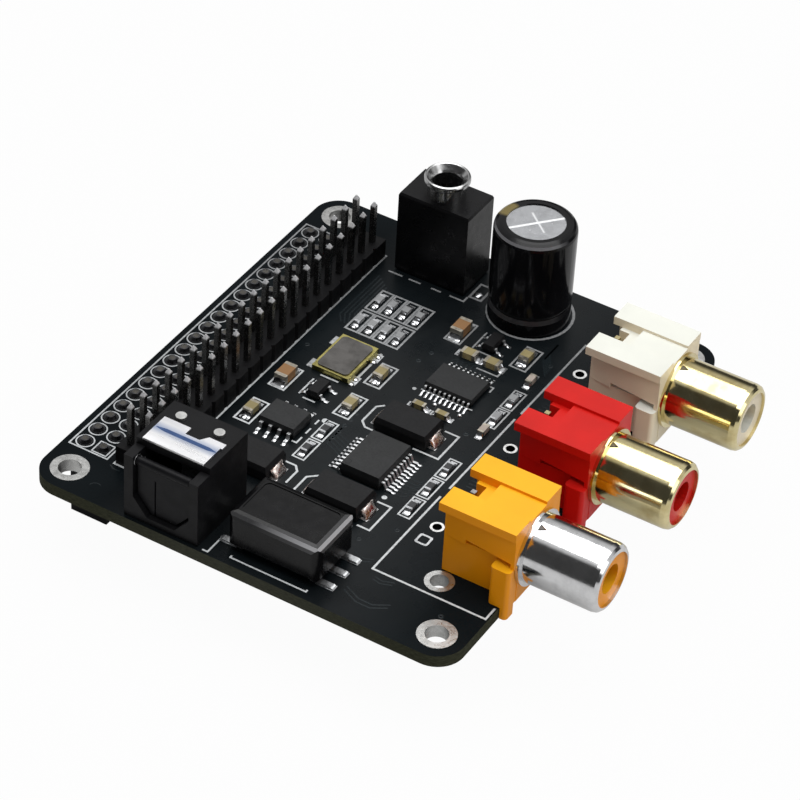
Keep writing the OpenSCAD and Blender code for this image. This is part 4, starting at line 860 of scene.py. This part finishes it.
# Test pad
def square_ring():
    """A rounded square ring of tinned copper."""
    shape = Shape()
    x, y, half, r, inner_share = 15.35, -16.65, 0.85, 0.3, 0.68
    outer = []
    for cx, cy, a in ((1, 1, 0), (-1, 1, 90), (-1, -1, 180), (1, -1, 270)):
        outer += arc(x + cx * (half - r), y + cy * (half - r), r, a, a + 90, 5)
    mid = [(x + (px - x) * inner_share, y + (py - y) * inner_share) for px, py in outer]
    n = len(outer)
    low, high = Z0, TOP + 0.05
    verts = [(p[0], p[1], low) for p in outer] + [(p[0], p[1], high) for p in outer]
    verts += [(p[0], p[1], high) for p in mid] + [(p[0], p[1], low) for p in mid]
    faces = []
    for i in range(n):
        j = (i + 1) % n
        for a, b in ((0, n), (n, 2 * n), (2 * n, 3 * n), (3 * n, 0)):
            faces.append((a + i, a + j, b + j, b + i))
    shape.solid(verts, faces)
    return shape.make("test_pad_square", LOOKS["tinned"])


square_ring()


# Marks on parts
def part_marks():
    """Pin-one dimples on the packages, plain and without lettering."""
    shape = Shape()
    sunk = 0.005
    # The package, the mark's place, its outer and inner radius, how proud it stands and its sides
    for package, x, y, outer, inner, proud, sides in (
            ("link_chip", 2.15, -11.75, 0.42, 0.36, 0.007, 24),
            ("converter_chip", 2.4, 6.85, 0.3, 0.25, 0.004, 20),
            ("amplifier_chip", -6.75, -9.75, 0.3, 0.25, 0.005, 20)):
        top = top_of(package)
        shape.ring(x, y, outer, inner, top - sunk, top + proud, sides)
    return shape.make("package_dimples", LOOKS["chip_dark"])


part_marks()


def plate_line():
    """A blue protective line across the bright plate, worn away towards its ends."""
    material, tree, shader, at = new_material("blue_lacquer")
    patch = spread(tree, noise(tree, at, 1.2), 0.0, 1.0)
    blue = blend_colours(tree, patch, (0.020, 0.052, 0.150), (0.040, 0.085, 0.210))
    tree.links.new(blue, shader.inputs["Base Color"])
    tree.links.new(spread(tree, noise(tree, at, 2.5, 4.0), 0.3, 0.42), shader.inputs["Roughness"])
    shader.inputs["Specular IOR Level"].default_value = 0.3
    bump(tree, shader, noise(tree, at, 6.0), 0.002)
    x0, x1, y, half, tip = -13.85, -5.9, PLATE_LINE_Y, 0.28, 0.06
    worn_left, worn_right, thick = 1.2, 1.0, 0.006
    top = top_of("optical_top_plate")
    shape = Shape()
    outline = [(x0, y - tip), (x0 + worn_left, y - half), (x1 - worn_right, y - half), (x1, y - tip),
               (x1, y + tip), (x1 - worn_right, y + half), (x0 + worn_left, y + half), (x0, y + tip)]
    n = len(outline)
    verts = [(p[0], p[1], top - UNDER) for p in outline] + [(p[0], p[1], top + thick) for p in outline]
    faces = [tuple(range(n - 1, -1, -1)), tuple(range(n, 2 * n))]
    faces += [(i, (i + 1) % n, n + (i + 1) % n, n + i) for i in range(n)]
    shape.solid(verts, faces)
    return shape.make("plate_line", material)


plate_line()


# Floor, light and camera
def build_stage():
    """A plain pale floor, white to the camera except for the object's soft shadow."""
    half_m, low_m, camera_white, mirror_white = 3.0, -0.0087, 0.965, 0.2
    material = bpy.data.materials.new("floor_paper")
    material.use_nodes = True
    tree = material.node_tree
    shader = tree.nodes["Principled BSDF"]
    shader.inputs["Base Color"].default_value = (0.52, 0.52, 0.52, 1)
    shader.inputs["Roughness"].default_value = 0.9
    shader.inputs["Specular IOR Level"].default_value = 0.1
    rays = tree.nodes.new("ShaderNodeLightPath")
    glow = tree.nodes.new("ShaderNodeEmission")
    glow.inputs["Strength"].default_value = 1.0
    mix = tree.nodes.new("ShaderNodeMixShader")
    seen = maths(tree, "MULTIPLY", rays.outputs["Is Camera Ray"], camera_white)
    mirrored = maths(tree, "MAXIMUM", rays.outputs["Is Glossy Ray"], rays.outputs["Is Transmission Ray"])
    tree.links.new(maths(tree, "MULTIPLY_ADD", mirrored, mirror_white, seen), mix.inputs["Fac"])
    tree.links.new(shader.outputs["BSDF"], mix.inputs[1])
    tree.links.new(glow.outputs["Emission"], mix.inputs[2])
    tree.links.new(mix.outputs["Shader"], tree.nodes["Material Output"].inputs["Surface"])
    mesh = bpy.data.meshes.new("floor")
    corners = [(x * half_m, y * half_m, low_m) for x, y in ((-1, -1), (1, -1), (1, 1), (-1, 1))]
    mesh.from_pydata(corners, [], [(0, 1, 2, 3)])
    floor = bpy.data.objects.new("floor", mesh)
    bpy.context.scene.collection.objects.link(floor)
    mesh.materials.append(material)


def build_world():
    """White to the camera. To metal and glass, a broad soft panel overhead with dim walls round it."""
    wall, panel_gain, ceiling_start, ceiling_end, diffuse = 0.05, 0.59, (18, 34), (115, 124), 0.30
    world = bpy.data.worlds.new("studio")
    bpy.context.scene.world = world
    world.use_nodes = True
    tree = world.node_tree
    back = tree.nodes["Background"]
    back.inputs["Color"].default_value = (1, 1, 1, 1)
    rays = tree.nodes.new("ShaderNodeLightPath")
    coords = tree.nodes.new("ShaderNodeTexCoord")
    _, y, z = parts_of(tree, coords.outputs["Generated"])
    # The angle up from the +Y horizon, over the top and down to the -Y horizon, in radians
    angle = maths(tree, "ARCTAN2", z, y)
    rise = spread(tree, angle, wall, wall + panel_gain, *map(math.radians, ceiling_start))
    fall = spread(tree, angle, 0.0, panel_gain, *map(math.radians, ceiling_end))
    panel = maths(tree, "SUBTRACT", rise, fall)
    mirrored = maths(tree, "MAXIMUM", rays.outputs["Is Glossy Ray"], rays.outputs["Is Transmission Ray"])
    shown = maths(tree, "MULTIPLY", mirrored, maths(tree, "SUBTRACT", panel, diffuse))
    level = maths(tree, "MULTIPLY_ADD", rays.outputs["Is Camera Ray"], 1.0 - diffuse, diffuse)
    tree.links.new(maths(tree, "ADD", level, shown), back.inputs["Strength"])


def area_light(name, place_m, aim_m, size_m, power_w):
    lamp = bpy.data.lights.new(name, "AREA")
    lamp.shape = "RECTANGLE"
    lamp.size, lamp.size_y = size_m
    lamp.energy = power_w
    holder = bpy.data.objects.new(name, lamp)
    bpy.context.scene.collection.objects.link(holder)
    holder.location = place_m
    holder.rotation_euler = (Vector(aim_m) - Vector(place_m)).to_track_quat("-Z", "Y").to_euler()


build_stage()
build_world()
area_light("key_top", (0.02, 0.045, 0.50), (0.0, 0.0, 0.0), (0.60, 0.54), 3.2)
area_light("rim_right", (0.60, -0.02, 0.26), (0.02, 0.0, 0.0), (0.30, 0.40), 0.6)


def build_camera():
    """Camera fitted to the board's edges, holes and header in the photograph."""
    place_m, lens_mm, sensor_mm = (0.161467, -0.285435, 0.275900), 164.33, 36
    azimuth, elevation, roll = (math.radians(a) for a in (29.208, 39.712, 3.492))
    right = Vector((math.cos(azimuth), math.sin(azimuth), 0))
    back = Vector((math.sin(azimuth) * math.cos(elevation), -math.cos(azimuth) * math.cos(elevation),
                   math.sin(elevation)))
    up = back.cross(right)
    c, s = math.cos(roll), math.sin(roll)
    rolled_right = right * c + up * s
    rolled_up = up * c - right * s
    camera = bpy.data.objects.new("camera", bpy.data.cameras.new("camera"))
    bpy.context.scene.collection.objects.link(camera)
    frame_of_view = Matrix((rolled_right, rolled_up, back)).transposed().to_4x4()
    frame_of_view.translation = Vector(place_m)
    camera.matrix_world = frame_of_view
    camera.data.sensor_width = sensor_mm
    camera.data.lens = lens_mm
    camera.data.clip_start = 0.01
    camera.data.clip_end = 20
    bpy.context.scene.camera = camera


build_camera()
bpy.context.scene.view_settings.view_transform = "Standard"

bpy.context.view_layer.update()
